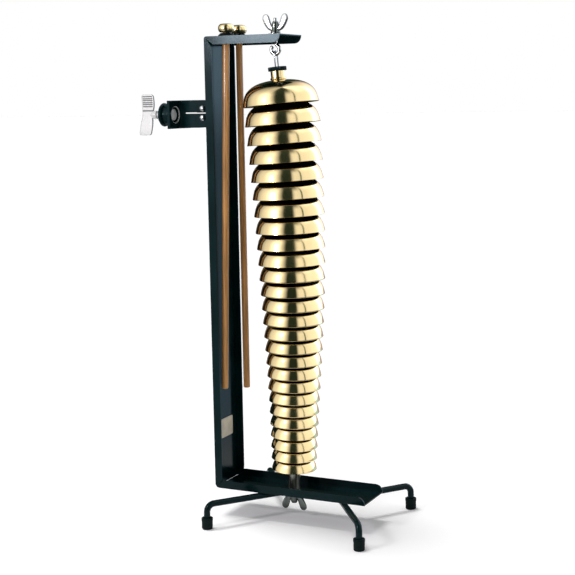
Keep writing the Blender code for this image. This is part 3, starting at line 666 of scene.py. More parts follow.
def rod_along(name, path, radius, finish, body, node=None, sides=24, side=(1.0, 0.0, 0.0), edge=0.0005):
    """Tube along a path with both ends rounded: the radius falls as a quarter circle over the edge."""
    path = np.asarray(path, float)
    lean = np.gradient(path, axis=0)
    lean[0] = path[1] - path[0]
    lean[-1] = path[-1] - path[-2]
    lean /= np.linalg.norm(lean, axis=1, keepdims=True)
    turn = np.linspace(0.0, math.pi / 2, 5)[:, None]
    head = path[0] + lean[0] * edge * (1 - np.sin(turn))
    tail = path[-1] - lean[-1] * edge * (1 - np.sin(turn[::-1]))
    ends = radius - edge * (1 - np.cos(turn[:, 0]))
    centres = np.concatenate([path[:1], head[::-1], path[1:-1], tail[::-1], path[-1:]])
    axes = np.concatenate([np.repeat(lean[:1], 6, axis=0), lean[1:-1], np.repeat(lean[-1:], 6, axis=0)])
    radii = np.concatenate([[0.0], ends[::-1], np.full(len(path) - 2, radius), ends, [0.0]])
    points = rings(centres, axes, radii, sides, side)
    return add_piece(name, points, False, finish, body, node)


def eased_copy(node, finish, body, width, turns=3):
    """A copy of a node with its flat faces joined and its edges rounded."""
    source = frame["nodes"][node]
    mesh = source.data.copy()
    shape = bmesh.new()
    shape.from_mesh(mesh)
    bmesh.ops.remove_doubles(shape, verts=shape.verts, dist=1e-6)
    limit = math.radians(2)
    bmesh.ops.dissolve_limit(shape, angle_limit=limit, verts=shape.verts, edges=shape.edges)
    shape.to_mesh(mesh)
    shape.free()
    mesh.name = f"{node}_eased"
    piece = bpy.data.objects.new(f"{node}_eased", mesh)
    bpy.context.scene.collection.objects.link(piece)
    mesh.shade_smooth()
    bevel = piece.modifiers.new("Edges", "BEVEL")
    bevel.width = width
    bevel.segments = turns
    bevel.limit_method = "ANGLE"
    bevel.angle_limit = math.radians(32)
    flat = piece.modifiers.new("Flat faces", "WEIGHTED_NORMAL")
    flat.weight = 100
    return carried(piece, finish, body, node)


def middle(node):
    """Middle of a node's box."""
    low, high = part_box(node)
    return np.array((low + high) / 2)


def node_reach(name, place, axis):
    """Largest radius about an axis and the deepest point along it, of a node's mesh."""
    mesh = frame["nodes"][name].data
    flat = np.empty(len(mesh.vertices) * 3)
    mesh.vertices.foreach_get("co", flat)
    spots = flat.reshape(-1, 3) - np.array(place)
    heights = spots @ np.array(axis)
    radii = np.linalg.norm(spots - heights[:, None] * np.array(axis), axis=1)
    return radii.max(), -heights.min()


class BELLTREE_OT_finishes(bpy.types.Operator):
    """Makes the shared groups and finishes and puts a finish on every CAD node"""

    bl_idname = "belltree.finishes"
    bl_label = "Finishes"

    def execute(self, context):
        colours = context.scene.bell_colours
        groups_made["stretched_noise"] = stretched_noise_group()
        groups_made["varied_finish"] = varied_finish_group()
        groups_made["masked_finish"] = masked_finish_group()
        groups_made["studio_walls"] = studio_walls_group(context.scene.bell_studio.heading)
        finishes["polished_brass"] = brass_finish(colours.brass, colours.inside)
        finishes["black_paint"] = enamel_finish(colours.enamel)
        finishes["chrome"] = chrome_finish("bright_chrome", colours.chrome)
        # painted shade: the dark copy of the chrome
        finishes["chrome_painted_shade"] = chrome_finish("chrome_painted_shade", colours.chrome_in_shade)
        finishes["satin_plate"] = satin_finish(colours.satin, colours.wing_shade)
        finishes["matt_disc"] = disc_finish(colours.disc)
        finishes["zinc_steel"] = zinc_finish(colours.zinc)
        finishes["maple"] = wood_finish(colours.wood)
        finishes["black_rubber"] = rubber_finish(colours.rubber)
        finishes["cream_plate"] = plate_finish(colours.plate)
        for part in frame["record"]["subparts"]:
            mesh = frame["nodes"][part["node"]].data
            mesh.materials.clear()
            mesh.materials.append(finishes[part["material_slot"]])
        return {"FINISHED"}


class BELLTREE_OT_stand(bpy.types.Operator):
    """Rounds the channel's edges and makes the plate, the leg rods and the feet"""

    bl_idname = "belltree.stand"
    bl_label = "Stand"

    def execute(self, context):
        sizes = context.scene.bell_stand
        eased_copy("stand_frame", "black_paint", "stand", sizes.edge)
        for side, apex_x in (("left", sizes.left_apex), ("right", sizes.right_apex)):
            self.leg(sizes, side, column_back_x + apex_x)
            for end in ("near", "far"):
                self.foot(sizes, f"foot_{side}_{end}")
        self.plate(sizes)
        return {"FINISHED"}

    def leg(self, sizes, side, apex_x):
        """One rod from foot to foot with a bend above each foot and one under the base."""
        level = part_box(f"leg_rod_{side}")[1].z - sizes.leg
        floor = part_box(f"leg_rod_{side}")[0].z
        near = middle(f"foot_{side}_near")
        far = middle(f"foot_{side}_far")
        corners = [
            (near[0], near[1], floor),
            (near[0], near[1], level),
            (apex_x, 0.0, level),
            (far[0], far[1], level),
            (far[0], far[1], floor),
        ]
        path = fillet_path(corners, (sizes.knee, sizes.apex, sizes.knee))
        rod_along(f"leg_rod_{side}_round", path, sizes.leg, "black_paint", "stand", f"leg_rod_{side}", 28)

    def foot(self, sizes, node):
        """A rubber foot with a rounded sole, a slight taper, a ring at its top and its socket."""
        low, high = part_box(node)
        tall = high.z - low.z
        radius = sizes.foot
        socket = sizes.leg + 0.0003
        section = [
            (0.0, 0.0),
            (radius * 0.9, 0.0),
            (radius, tall * 0.09),
            (radius, tall * 0.7),
            (radius + sizes.foot_ring, tall * 0.77),
            (radius + sizes.foot_ring, tall),
            (socket, tall),
            (socket, sizes.foot_floor),
            (0.0, sizes.foot_floor),
        ]
        place = (middle(node)[0], middle(node)[1], low.z)
        turned(f"{node}_round", section, place, up, "black_rubber", "stand", node, 48, 0.0008)

    def plate(self, sizes):
        """A bare plate on the web: a rounded rectangle |y/a|^n + |z/b|^n = 1, domed at its edge."""
        turns = np.linspace(0.0, math.tau, 160, endpoint=False)
        square = 2.0 / 14.0
        across = np.sign(np.cos(turns)) * np.abs(np.cos(turns)) ** square
        along = np.sign(np.sin(turns)) * np.abs(np.sin(turns)) ** square
        inset = np.array([1.0, 1.0, 0.99, 0.97, 0.0])
        lift = np.array([0.0, 0.0004, 0.0006, 0.0007, 0.0007])
        inner = column_back_x + 0.0021
        shape = (len(inset), len(turns))
        points = np.empty((*shape, 3))
        points[..., 0] = inner + lift[:, None]
        points[..., 1] = inset[:, None] * across * sizes.plate_width / 2
        points[..., 2] = sizes.plate_z + inset[:, None] * along * sizes.plate_height / 2
        back = points[:1] * np.array([1.0, 0.0, 0.0]) + np.array([0.0, 0.0, sizes.plate_z])
        points = np.concatenate([np.broadcast_to(back, (1, len(turns), 3)), points])
        add_piece("bare_plate", points, False, "cream_plate", "stand", sharp=50)


class BELLTREE_OT_bells(bpy.types.Operator):
    """Draws each bell as a smooth turned surface on its own hinge line"""

    bl_idname = "belltree.bells"
    bl_label = "Bells"

    def execute(self, context):
        sizes = context.scene.bell_sizes
        for count, name in enumerate(bell_names):
            share = count / (len(bell_names) - 1)
            place = np.array(hinges[name]["pos_m"])
            axis = np.array(hinges[name]["axis"])
            radius, height = node_reach(name, place, axis)
            radius *= 1.0 + sizes.spread_low * share
            section, painted_shade = self.section(radius, height, share, sizes)
            centres = place + section[:, 1:] * axis
            axes = np.broadcast_to(axis, centres.shape)
            points = rings(centres, axes, section[:, 0], sizes.sides)
            add_piece(f"{name}_dome", points, True, "polished_brass", name, name, 60, painted_shade)
        return {"FINISHED"}

    def section(self, radius, height, share, sizes):
        """Bell section r = a sin(t)^(2/n), z = h cos(t)^(2/n) with a flared lip, and a mask of painted shade that is 1
        for the inner rows.
        """
        power = 2.0 / (sizes.squareness + (sizes.squareness_low - sizes.squareness) * share)
        lip = radius * (sizes.flare + (sizes.flare_low - sizes.flare) * share)

        def dome(inset, count):
            turn = np.linspace(0.0, math.pi / 2, count)
            across = (radius - lip - inset) * np.sin(turn) ** power
            rise = (height - inset) * np.clip(np.cos(turn), 0.0, 1.0) ** power
            across = across + lip * np.clip(1.0 - rise / (height * 0.3), 0.0, 1.0) ** 2
            keep = across > sizes.hole * 1.3
            return np.stack([across[keep], rise[keep] - height], axis=-1)

        edge = sizes.wall * 0.3
        outer = dome(0.0, 46)
        inner = dome(sizes.wall, 32)[::-1]
        outer[-1, 1] += edge
        inner[0, 1] += edge
        lip_edge = np.array([[radius - edge, -height], [radius - sizes.wall + edge, -height]])
        bore = np.array([[sizes.hole, -sizes.wall], [sizes.hole, 0.0]])
        # painted shade: the inner rows and the bore are darkened
        painted_shade = np.zeros(len(outer) + len(lip_edge) + len(inner) + len(bore))
        painted_shade[len(outer) + len(lip_edge) : -1] = 1.0
        return np.concatenate([outer, lip_edge, inner, bore]), painted_shade


class BELLTREE_OT_string(bpy.types.Operator):
    """Makes the bowed rod, its spacers and post, the ferrule, the cap, the bail and the hook"""

    bl_idname = "belltree.string"
    bl_label = "Bell string"

    def execute(self, context):
        sizes = context.scene.bell_string
        wall = context.scene.bell_sizes.wall
        self.rod(sizes, wall)
        self.post(sizes, wall)
        self.head(sizes)
        self.hook(sizes)
        return {"FINISHED"}

    def rod(self, sizes, wall):
        """Rings square to the rod at both faces of every crown, with the spacer's radius between bells."""
        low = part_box("bell_rod")[0]
        foot = (column_back_x + sizes.rod_x, 0.0)
        thin = sizes.rod
        wide = sizes.spacer
        stations = [((*foot, low.z), up, 0.0), ((*foot, low.z), up, thin - 0.0005)]
        stations += [((*foot, low.z + 0.0005), up, thin), ((*foot, base_underside_z), up, thin)]
        for order, name in enumerate(reversed(bell_names)):
            place = np.array(hinges[name]["pos_m"])
            axis = np.array(hinges[name]["axis"])
            under = place - axis * (wall + 0.0003)
            above = place + axis * 0.0003
            if order:
                stations += [(under - axis * 0.0004, axis, wide), (under, axis, wide - 0.0004)]
            stations += [(under, axis, thin), (above, axis, thin)]
            if order < len(bell_names) - 1:
                stations += [(above, axis, wide - 0.0004), (above + axis * 0.0004, axis, wide)]
        top = above + axis * (sizes.ferrule_height + sizes.cap_height * 0.4)
        stations += [(top, axis, thin), (top, axis, 0.0)]
        centres, axes, radii = (np.array(part, float) for part in zip(*stations))
        points = rings(centres, axes, radii, 32)
        add_piece("bell_rod_round", points, False, "zinc_steel", "stand", "bell_rod", sharp=40)

    def post(self, sizes, wall):
        """The tube between the base and the lowest bell, with a chamfered head."""
        last = bell_names[-1]
        axis = np.array(hinges[last]["axis"])
        head = np.array(hinges[last]["pos_m"]) - axis * (wall + 0.0003)
        foot = np.array((column_back_x + sizes.rod_x, 0.0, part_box("post_tube")[0].z))
        bore = sizes.rod + 0.0003
        upright = np.array(up)
        stations = [
            (foot, upright, bore),
            (foot, upright, sizes.post - 0.0005),
            (foot + upright * 0.0005, upright, sizes.post),
            (head - axis * 0.0011, axis, sizes.post),
            (head, axis, sizes.spacer),
            (head, axis, bore),
        ]
        centres, axes, radii = (np.array(part, float) for part in zip(*stations))
        points = rings(centres, axes, radii, 56)
        add_piece("post_tube_round", points, True, "zinc_steel", "stand", "post_tube", sharp=40)

    def head(self, sizes):
        """Ferrule with its ring, knurled cap, and the bail standing in the cap."""
        first = bell_names[0]
        axis = np.array(hinges[first]["axis"])
        seat = np.array(hinges[first]["pos_m"]) + axis * 0.0003
        bore = sizes.rod + 0.0003
        ring = sizes.ferrule_ring
        tall = sizes.ferrule_height
        section = [
            (bore, 0.0),
            (ring - 0.0008, 0.0),
            (ring, 0.0008),
            (ring, 0.0022),
            (ring - 0.0008, 0.003),
            (sizes.ferrule, 0.0032),
            (sizes.ferrule, tall),
            (bore, tall),
        ]
        turned("ferrule_round", section, seat, axis, "polished_brass", "stand", "brass_ferrule", 72, closed=True)
        seat = seat + axis * (tall + 0.0003)
        tall = sizes.cap_height
        section = [(0.0, 0.0), (sizes.cap, 0.0), (sizes.cap, tall), (sizes.cap * 0.3, tall), (0.0, tall)]
        knurl = (44, 0.0007)
        turned("cap_knurled", section, seat, axis, "black_paint", "stand", "rod_cap", 352, 0.0006, knurl=knurl)
        top = seat + axis * tall
        straight = sizes.bail_height - sizes.bail_half
        turns = np.linspace(0.0, math.pi, 40)[:, None]
        across = np.array((0.0, 1.0, 0.0))
        arch = across * np.cos(turns) * sizes.bail_half + axis * (straight + np.sin(turns) * sizes.bail_half)
        feet = [across * sizes.bail_half - axis * 0.0027, -across * sizes.bail_half - axis * 0.0027]
        path = top + np.concatenate([feet[:1], arch, feet[1:]])
        side = np.cross(across, axis)
        rod_along("bail_wire", path, sizes.bail, "chrome", "stand", "bail", 20, side, 0.0003)

    def hook(self, sizes):
        """Threaded shank, neck and open ring of the hook that holds the bail."""
        low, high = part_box("hook_bolt")
        radius = sizes.hook
        ring = sizes.hook_ring
        shank_x = column_back_x + sizes.hook_x
        centre_z = low.z + radius + ring
        centre_x = high.x - radius - ring
        turns = np.radians(np.linspace(50.0, -225.0, 90))[:, None]
        curl = np.concatenate([np.cos(turns), np.zeros_like(turns), np.sin(turns)], axis=1) * ring
        curl = curl + np.array((centre_x, 0.0, centre_z))
        t = np.linspace(0.0, 1.0, 24)[:-1, None]
        start = np.array((shank_x, 0.0, centre_z + ring + 0.0085))
        pull = np.array((shank_x, 0.0, centre_z + ring + 0.002))
        lean = curl[0] - np.array((math.sin(math.radians(50)), 0.0, -math.cos(math.radians(50)))) * 0.0028
        neck = (1 - t) ** 3 * start + 3 * t * (1 - t) ** 2 * pull + 3 * t ** 2 * (1 - t) * lean + t ** 3 * curl[0]
        shank = np.array([(shank_x, 0.0, high.z), (shank_x, 0.0, centre_z + ring + 0.009)])
        path = np.concatenate([shank, neck, curl])
        rod_along("hook_wire", path, radius, "chrome", "stand", "hook_bolt", 28, (0.0, 1.0, 0.0), 0.0008)


class BELLTREE_OT_fasteners(bpy.types.Operator):
    """Makes the washers and both wing nuts"""

    bl_idname = "belltree.fasteners"
    bl_label = "Fasteners"

    def execute(self, context):
        sizes = context.scene.bell_string
        hook_x = column_back_x + sizes.hook_x
        rod_x = column_back_x + sizes.rod_x
        self.washer("top_washer", (hook_x, 0.0), sizes.hook + 0.0004, "chrome")
        self.washer("bottom_washer", (rod_x, 0.0), sizes.rod + 0.0004, "black_paint")
        base = (hook_x, 0.0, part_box("top_wing_nut")[0].z)
        self.nut("top_wing_nut", base, up, sizes.hook + 0.0004)
        base = (rod_x, 0.0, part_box("bottom_wing_nut")[1].z)
        self.nut("bottom_wing_nut", base, (0.0, 0.0, -1.0), sizes.rod + 0.0004)
        return {"FINISHED"}

    def washer(self, node, spot, bore, finish):
        """A flat ring with eased edges."""
        low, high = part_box(node)
        radius = (high.x - low.x) / 2
        tall = high.z - low.z
        section = [(bore, 0.0), (radius, 0.0), (radius, tall), (bore, tall)]
        turned(f"{node}_round", section, (*spot, low.z), up, finish, "stand", node, 56, closed=True)

    def nut(self, node, base, axis, bore):
        """Flared barrel, and two wings whose section is an ellipse that swells and rounds off at the tip."""
        section = [
            (bore, 0.0),
            (0.0075, 0.0),
            (0.0074, 0.0022),
            (0.0061, 0.0048),
            (0.0057, 0.0095),
            (0.0056, 0.014),
            (0.0046, 0.0168),
            (bore, 0.018),
        ]
        # painted shade: the barrels take the dark copy of the chrome
        turned(f"{node}_barrel", section, base, axis, "chrome_painted_shade", node, node, 56, 0.0009, closed=True)
        axis = np.array(axis)
        t = np.linspace(0.0, 1.0, 44)[:, None]
        for side, label in ((-1.0, "left"), (1.0, "right")):
            points = [(0.0035, 0.0062), (0.0105, 0.0068), (0.0135, 0.0165), (0.0178, 0.0285)]
            hull = [np.array((side * x, 0.0, 0.0)) + axis * z for x, z in points]
            line = (1 - t) ** 3 * hull[0] + 3 * t * (1 - t) ** 2 * hull[1]
            line = line + 3 * t ** 2 * (1 - t) * hull[2] + t ** 3 * hull[3]
            lean = np.gradient(line, axis=0)
            lean /= np.linalg.norm(lean, axis=1, keepdims=True)
            blunt = np.sqrt(np.clip(1 - np.clip((t - 0.8) / 0.2, 0, 1) ** 2, 0, 1))
            width = (0.0028 + 0.0032 * np.sin(t * math.pi * 0.55)) * blunt
            thick = (0.0021 - 0.0007 * t) * np.sqrt(blunt)
            turns = np.linspace(0.0, math.tau, 32, endpoint=False)
            across = np.cross(lean, (0.0, 1.0, 0.0))
            points = line[:, None] + np.array(base)
            points = points + (width * np.cos(turns))[..., None] * across[:, None]
            flat = np.sign(np.sin(turns)) * np.abs(np.sin(turns)) ** 0.6
            points = points + (thick * flat)[..., None] * np.array((0.0, 1.0, 0.0))
            root = np.broadcast_to(points[:1].mean(axis=1, keepdims=True), (1, 32, 3))
            # painted shade: the lower nut's wings, under the base, take the dark copy of the chrome
            look = "chrome" if axis[2] > 0 else "chrome_painted_shade"
            add_piece(f"{node}_wing_{label}", np.concatenate([root, points]), False, look, node)


class BELLTREE_OT_mallets(bpy.types.Operator):
    """Makes the grommets, the dowels and the brass heads of both mallets"""

    bl_idname = "belltree.mallets"
    bl_label = "Mallets"

    def execute(self, context):
        for end in ("near", "far"):
            axis = np.array(hinges[f"mallet_{end}"]["axis"])
            self.grommet(end)
            self.mallet(end, axis)
        return {"FINISHED"}

    def grommet(self, end):
        """Rubber cone on the arm with a neck through it and a lip below."""
        node = f"grommet_{end}"
        low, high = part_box(node)
        spot = middle(node)
        top = column_top_z
        radius = (high.x - low.x) / 2
        bore = 0.0063
        section = [
            (bore, low.z - top),
            (0.0086, low.z - top),
            (0.0086, -0.0023),
            (0.007, -0.0023),
            (0.007, 0.0003),
            (radius, 0.0003),
            (radius, 0.0012),
            (radius * 0.7, high.z - top),
            (bore, high.z - top),
        ]
        turned(f"{node}_round", section, (spot[0], spot[1], top), up, "black_rubber", "stand", node, 56, closed=True)

    def mallet(self, end, axis):
        """A long dowel with rounded ends and an oblate brass head that is open underneath."""
        body = f"mallet_{end}"
        head = f"mallet_head_{end}"
        shaft = f"mallet_shaft_{end}"
        seat = middle(f"grommet_{end}")
        seat[2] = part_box(head)[0].z + (0.00031 if end == "near" else 0.0)
        radius, depth = node_reach(head, seat, axis)
        tall = 0.0135
        turn = np.linspace(-0.62, 0.5, 22) * math.pi / 1.15
        bulge = np.stack([radius * (0.6 + 0.4 * np.cos(turn)), tall * (0.46 + 0.5 * np.sin(turn))], axis=-1)
        bulge = bulge[(bulge[:, 1] > 0.0)]
        ends = np.array([[0.0056, 0.0085], [0.0056, 0.0]])
        crown = np.array([[radius * 0.45, tall * 0.985], [radius * 0.2, tall], [0.0, tall]])
        section = np.concatenate([[[0.0, 0.0085]], ends, bulge, crown])
        turned(f"{head}_round", section, seat, axis, "polished_brass", body, head, 72, 0.0002)
        reach = node_reach(shaft, seat, axis)[1]
        path = [seat - axis * (reach - 0.00005), seat - axis * 0.2, seat + axis * 0.0082]
        rod_along(f"{shaft}_round", path, 0.00525, "maple", body, shaft, 32, (0.0, 1.0, 0.0), 0.0016)


class BELLTREE_OT_clamp(bpy.types.Operator):
    """Eases the clamp's block and makes its bolts, boss, pad and wing screw"""

    bl_idname = "belltree.clamp"
    bl_label = "Clamp"

    def execute(self, context):
        sizes = context.scene.bell_clamp
        eased_copy("clamp_bracket", "black_paint", "stand", 0.0006)
        outward = (-1.0, 0.0, 0.0)
        mouth = np.array((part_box("clamp_bracket")[0].x, 0.0, middle("clamp_pad")[2]))
        self.boss(sizes, mouth)
        pad = [
            (0.0, -0.0022),
            (0.0085, -0.0022),
            (0.0093, -0.0016),
            (0.0093, 0.0),
            (0.0024, 0.0),
            (0.0024, 0.0015),
            (0.004, 0.0015),
            (0.004, 0.003),
            (0.0, 0.003),
        ]
        turned("clamp_pad_round", pad, mouth, outward, "matt_disc", "clamp_pad", "clamp_pad", 56, 0.0003)
        # painted highlight: a pale satin ring lines the hole's edge in the black block, where the edge only catches
        # light
        ring = [(0.0121, -0.0041), (0.0128, -0.0049), (0.0135, -0.0051), (0.0121, -0.0036)]
        turned("clamp_hole_rim_highlight", ring, mouth, outward, "satin_plate", "stand", None, 56, 0.0001, closed=True)
        for end in ("upper", "lower"):
            self.bolt(f"clamp_bolt_{end}")
        self.screw(sizes, mouth)
        self.blade(sizes, mouth)
        return {"FINISHED"}

    def boss(self, sizes, mouth):
        """Flange, neck and rounded disc turned about the screw, and a rounded rib along the top."""
        bore = sizes.screw + 0.0004
        disc = sizes.boss - sizes.disc_length
        rim = sizes.disc_round
        section = [
            (bore, 0.0003),
            (sizes.flange, 0.0003),
            (sizes.flange, sizes.flange_length),
            (sizes.neck, sizes.flange_length + 0.0001),
            (sizes.neck, disc - 0.0001),
            (sizes.disc - rim, disc),
            (sizes.disc, disc + rim),
            (sizes.disc, sizes.boss - rim),
            (sizes.disc - rim, sizes.boss),
            (bore, sizes.boss),
        ]
        look = ("black_paint", "stand")
        turned("clamp_boss_round", section, mouth, (-1.0, 0.0, 0.0), *look, "clamp_boss", 80, 0.0006, closed=True)
        start = sizes.flange_length / 2
        end = sizes.boss - sizes.disc_length / 2
        low = mouth + (-end, -sizes.rib / 2, sizes.neck * 0.8)
        high = mouth + (-start, sizes.rib / 2, sizes.flange)
        self.block("clamp_boss_rib", low, high, *look)

    def block(self, name, low, high, finish, body):
        """Rounded box c + s (cos(v)^e cos(u)^e, cos(v)^e sin(u)^e, sin(v)^e) with a small exponent e."""
        e = 0.22
        u = np.linspace(0.0, math.tau, 64, endpoint=False)[None]
        v = np.linspace(-math.pi / 2, math.pi / 2, 33)[:, None]

        def bent(wave):
            return np.sign(wave) * np.abs(wave) ** e

        points = np.stack([bent(np.cos(v)) * bent(np.cos(u)), bent(np.cos(v)) * bent(np.sin(u))], axis=-1)
        rise = np.broadcast_to(bent(np.sin(v)), points.shape[:2])
        points = np.concatenate([points, rise[..., None]], axis=-1)
        add_piece(name, (low + high) / 2 + points * (high - low) / 2, False, finish, body)

    def bolt(self, node):
        """A dome-headed bolt in the face of the block."""
        low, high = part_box(node)
        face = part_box("clamp_bracket")[0].y - 0.0003
        place = (middle(node)[0], face, middle(node)[2])
        radius = (high.x - low.x) / 2
        turn = np.linspace(0.0, math.pi / 2, 12)
        dome = np.stack([radius * np.cos(turn), 0.0008 + 0.0024 * np.sin(turn)], axis=-1)
        section = np.concatenate([[[0.0, -0.012], [0.0025, -0.012], [0.0025, 0.0], [radius, 0.0]], dome])
        turned(f"{node}_round", section, place, (0.0, -1.0, 0.0), "chrome", "stand", node, 48, 0.0002)

    def screw(self, sizes, mouth):
        """The screw's shaft and the hub of the wing, turned about the screw."""
        section = [
            (0.0, 0.0033),
            (sizes.screw, 0.0033),
            (sizes.screw, sizes.hub_start),
            (sizes.hub, sizes.hub_start),
            (sizes.hub, sizes.hub_end),
            (sizes.hub / 2, sizes.hub_end + sizes.hub_nose),
            (0.0, sizes.hub_end + sizes.hub_nose),
        ]
        turned("clamp_wing_hub", section, mouth, (-1.0, 0.0, 0.0), "satin_plate", "clamp_wing", "clamp_wing", 56, 0.0007)

    def blade(self, sizes, mouth):
        """S-shaped blade: squarish sections (cos^e, sin^e) that shift sideways as sin(s pi/2), thin and flare.

        s is the share of the reach. Ribs stand on the leading face of each arm.
        """
        reach = sizes.wing_reach
        u = np.sin(np.linspace(-1.0, 1.0, 161) * math.pi / 2)[:, None]
        share = np.abs(u)
        x = u * reach
        sweep = sizes.wing_sweep * np.sin(u * math.pi / 2)
        thick = (sizes.wing_root_thick + (sizes.wing_tip_thick - sizes.wing_root_thick) * share) / 2
        flare = np.sin(np.clip(np.abs(x) / sizes.wing_flare, 0, 1) * math.pi / 2) ** 2
        beyond = np.clip(np.abs(x) - reach + sizes.wing_tip, 0, sizes.wing_tip)
        blunt = sizes.wing_tip - np.sqrt(sizes.wing_tip ** 2 - beyond ** 2)
        wide = (sizes.wing_root + (sizes.wing - sizes.wing_root) * flare) / 2 - blunt
        eased = np.sqrt(np.clip(1 - (np.clip(share - 0.97, 0, 1) / 0.03) ** 2, 0.2, 1))
        turns = np.linspace(0.0, math.tau, 96, endpoint=False)[None]
        e = 0.3
        across = np.sign(np.cos(turns)) * np.abs(np.cos(turns)) ** e * wide
        flat = np.sign(np.sin(turns)) * np.abs(np.sin(turns)) ** e
        order = (reach - sizes.rib_inset - np.abs(x)) / sizes.rib_pitch
        nearest = np.clip(np.round(order), 0, 2)
        off = np.abs(order - nearest) * sizes.rib_pitch / (sizes.rib_width / 2)
        ridge = np.clip(1.35 - off ** 2 * 1.35, 0, 1) * np.clip((sizes.rib_length / 2 - np.abs(across)) / 0.0006, 0, 1)
        leading = np.sign(x) * flat < -0.5
        depth = flat * (thick * eased + sizes.rib_height * ridge * leading)
        lift = sizes.hub_end + sizes.wing / 2 + sizes.wing_lean * u ** 2 + across
        points = mouth + np.stack([-lift, sweep + depth, np.broadcast_to(x, depth.shape)], axis=-1)
        # painted shade: darker lines beside the ribs, a line across each arm at the root and a darker rim, all carried
        # by the mask
        beside = np.clip(1.5 - np.abs(off - 1.1) / 0.45, 0, 1) * (np.abs(across) < sizes.rib_length / 2 + 0.0012)
        root = np.clip(1.6 - np.abs(x - sizes.root_line) / 0.0009, 0, 1)
        rim = np.clip((np.abs(across) - wide * 0.9) / (wide * 0.08), 0, 1) * 0.7
        painted_shade = np.maximum(np.maximum(beside * leading, root * (np.abs(flat) > 0.5)), rim)
        painted_shade = np.concatenate([painted_shade[:1], painted_shade, painted_shade[-1:]])
        ends = points[[0, -1]].mean(axis=1, keepdims=True)
        caps = np.broadcast_to(ends, (2, points.shape[1], 3))
        points = np.concatenate([caps[:1], points, caps[1:]])
        add_piece("clamp_wing_blade", points, False, "satin_plate", "clamp_wing", sharp=60, painted_shade=painted_shade)


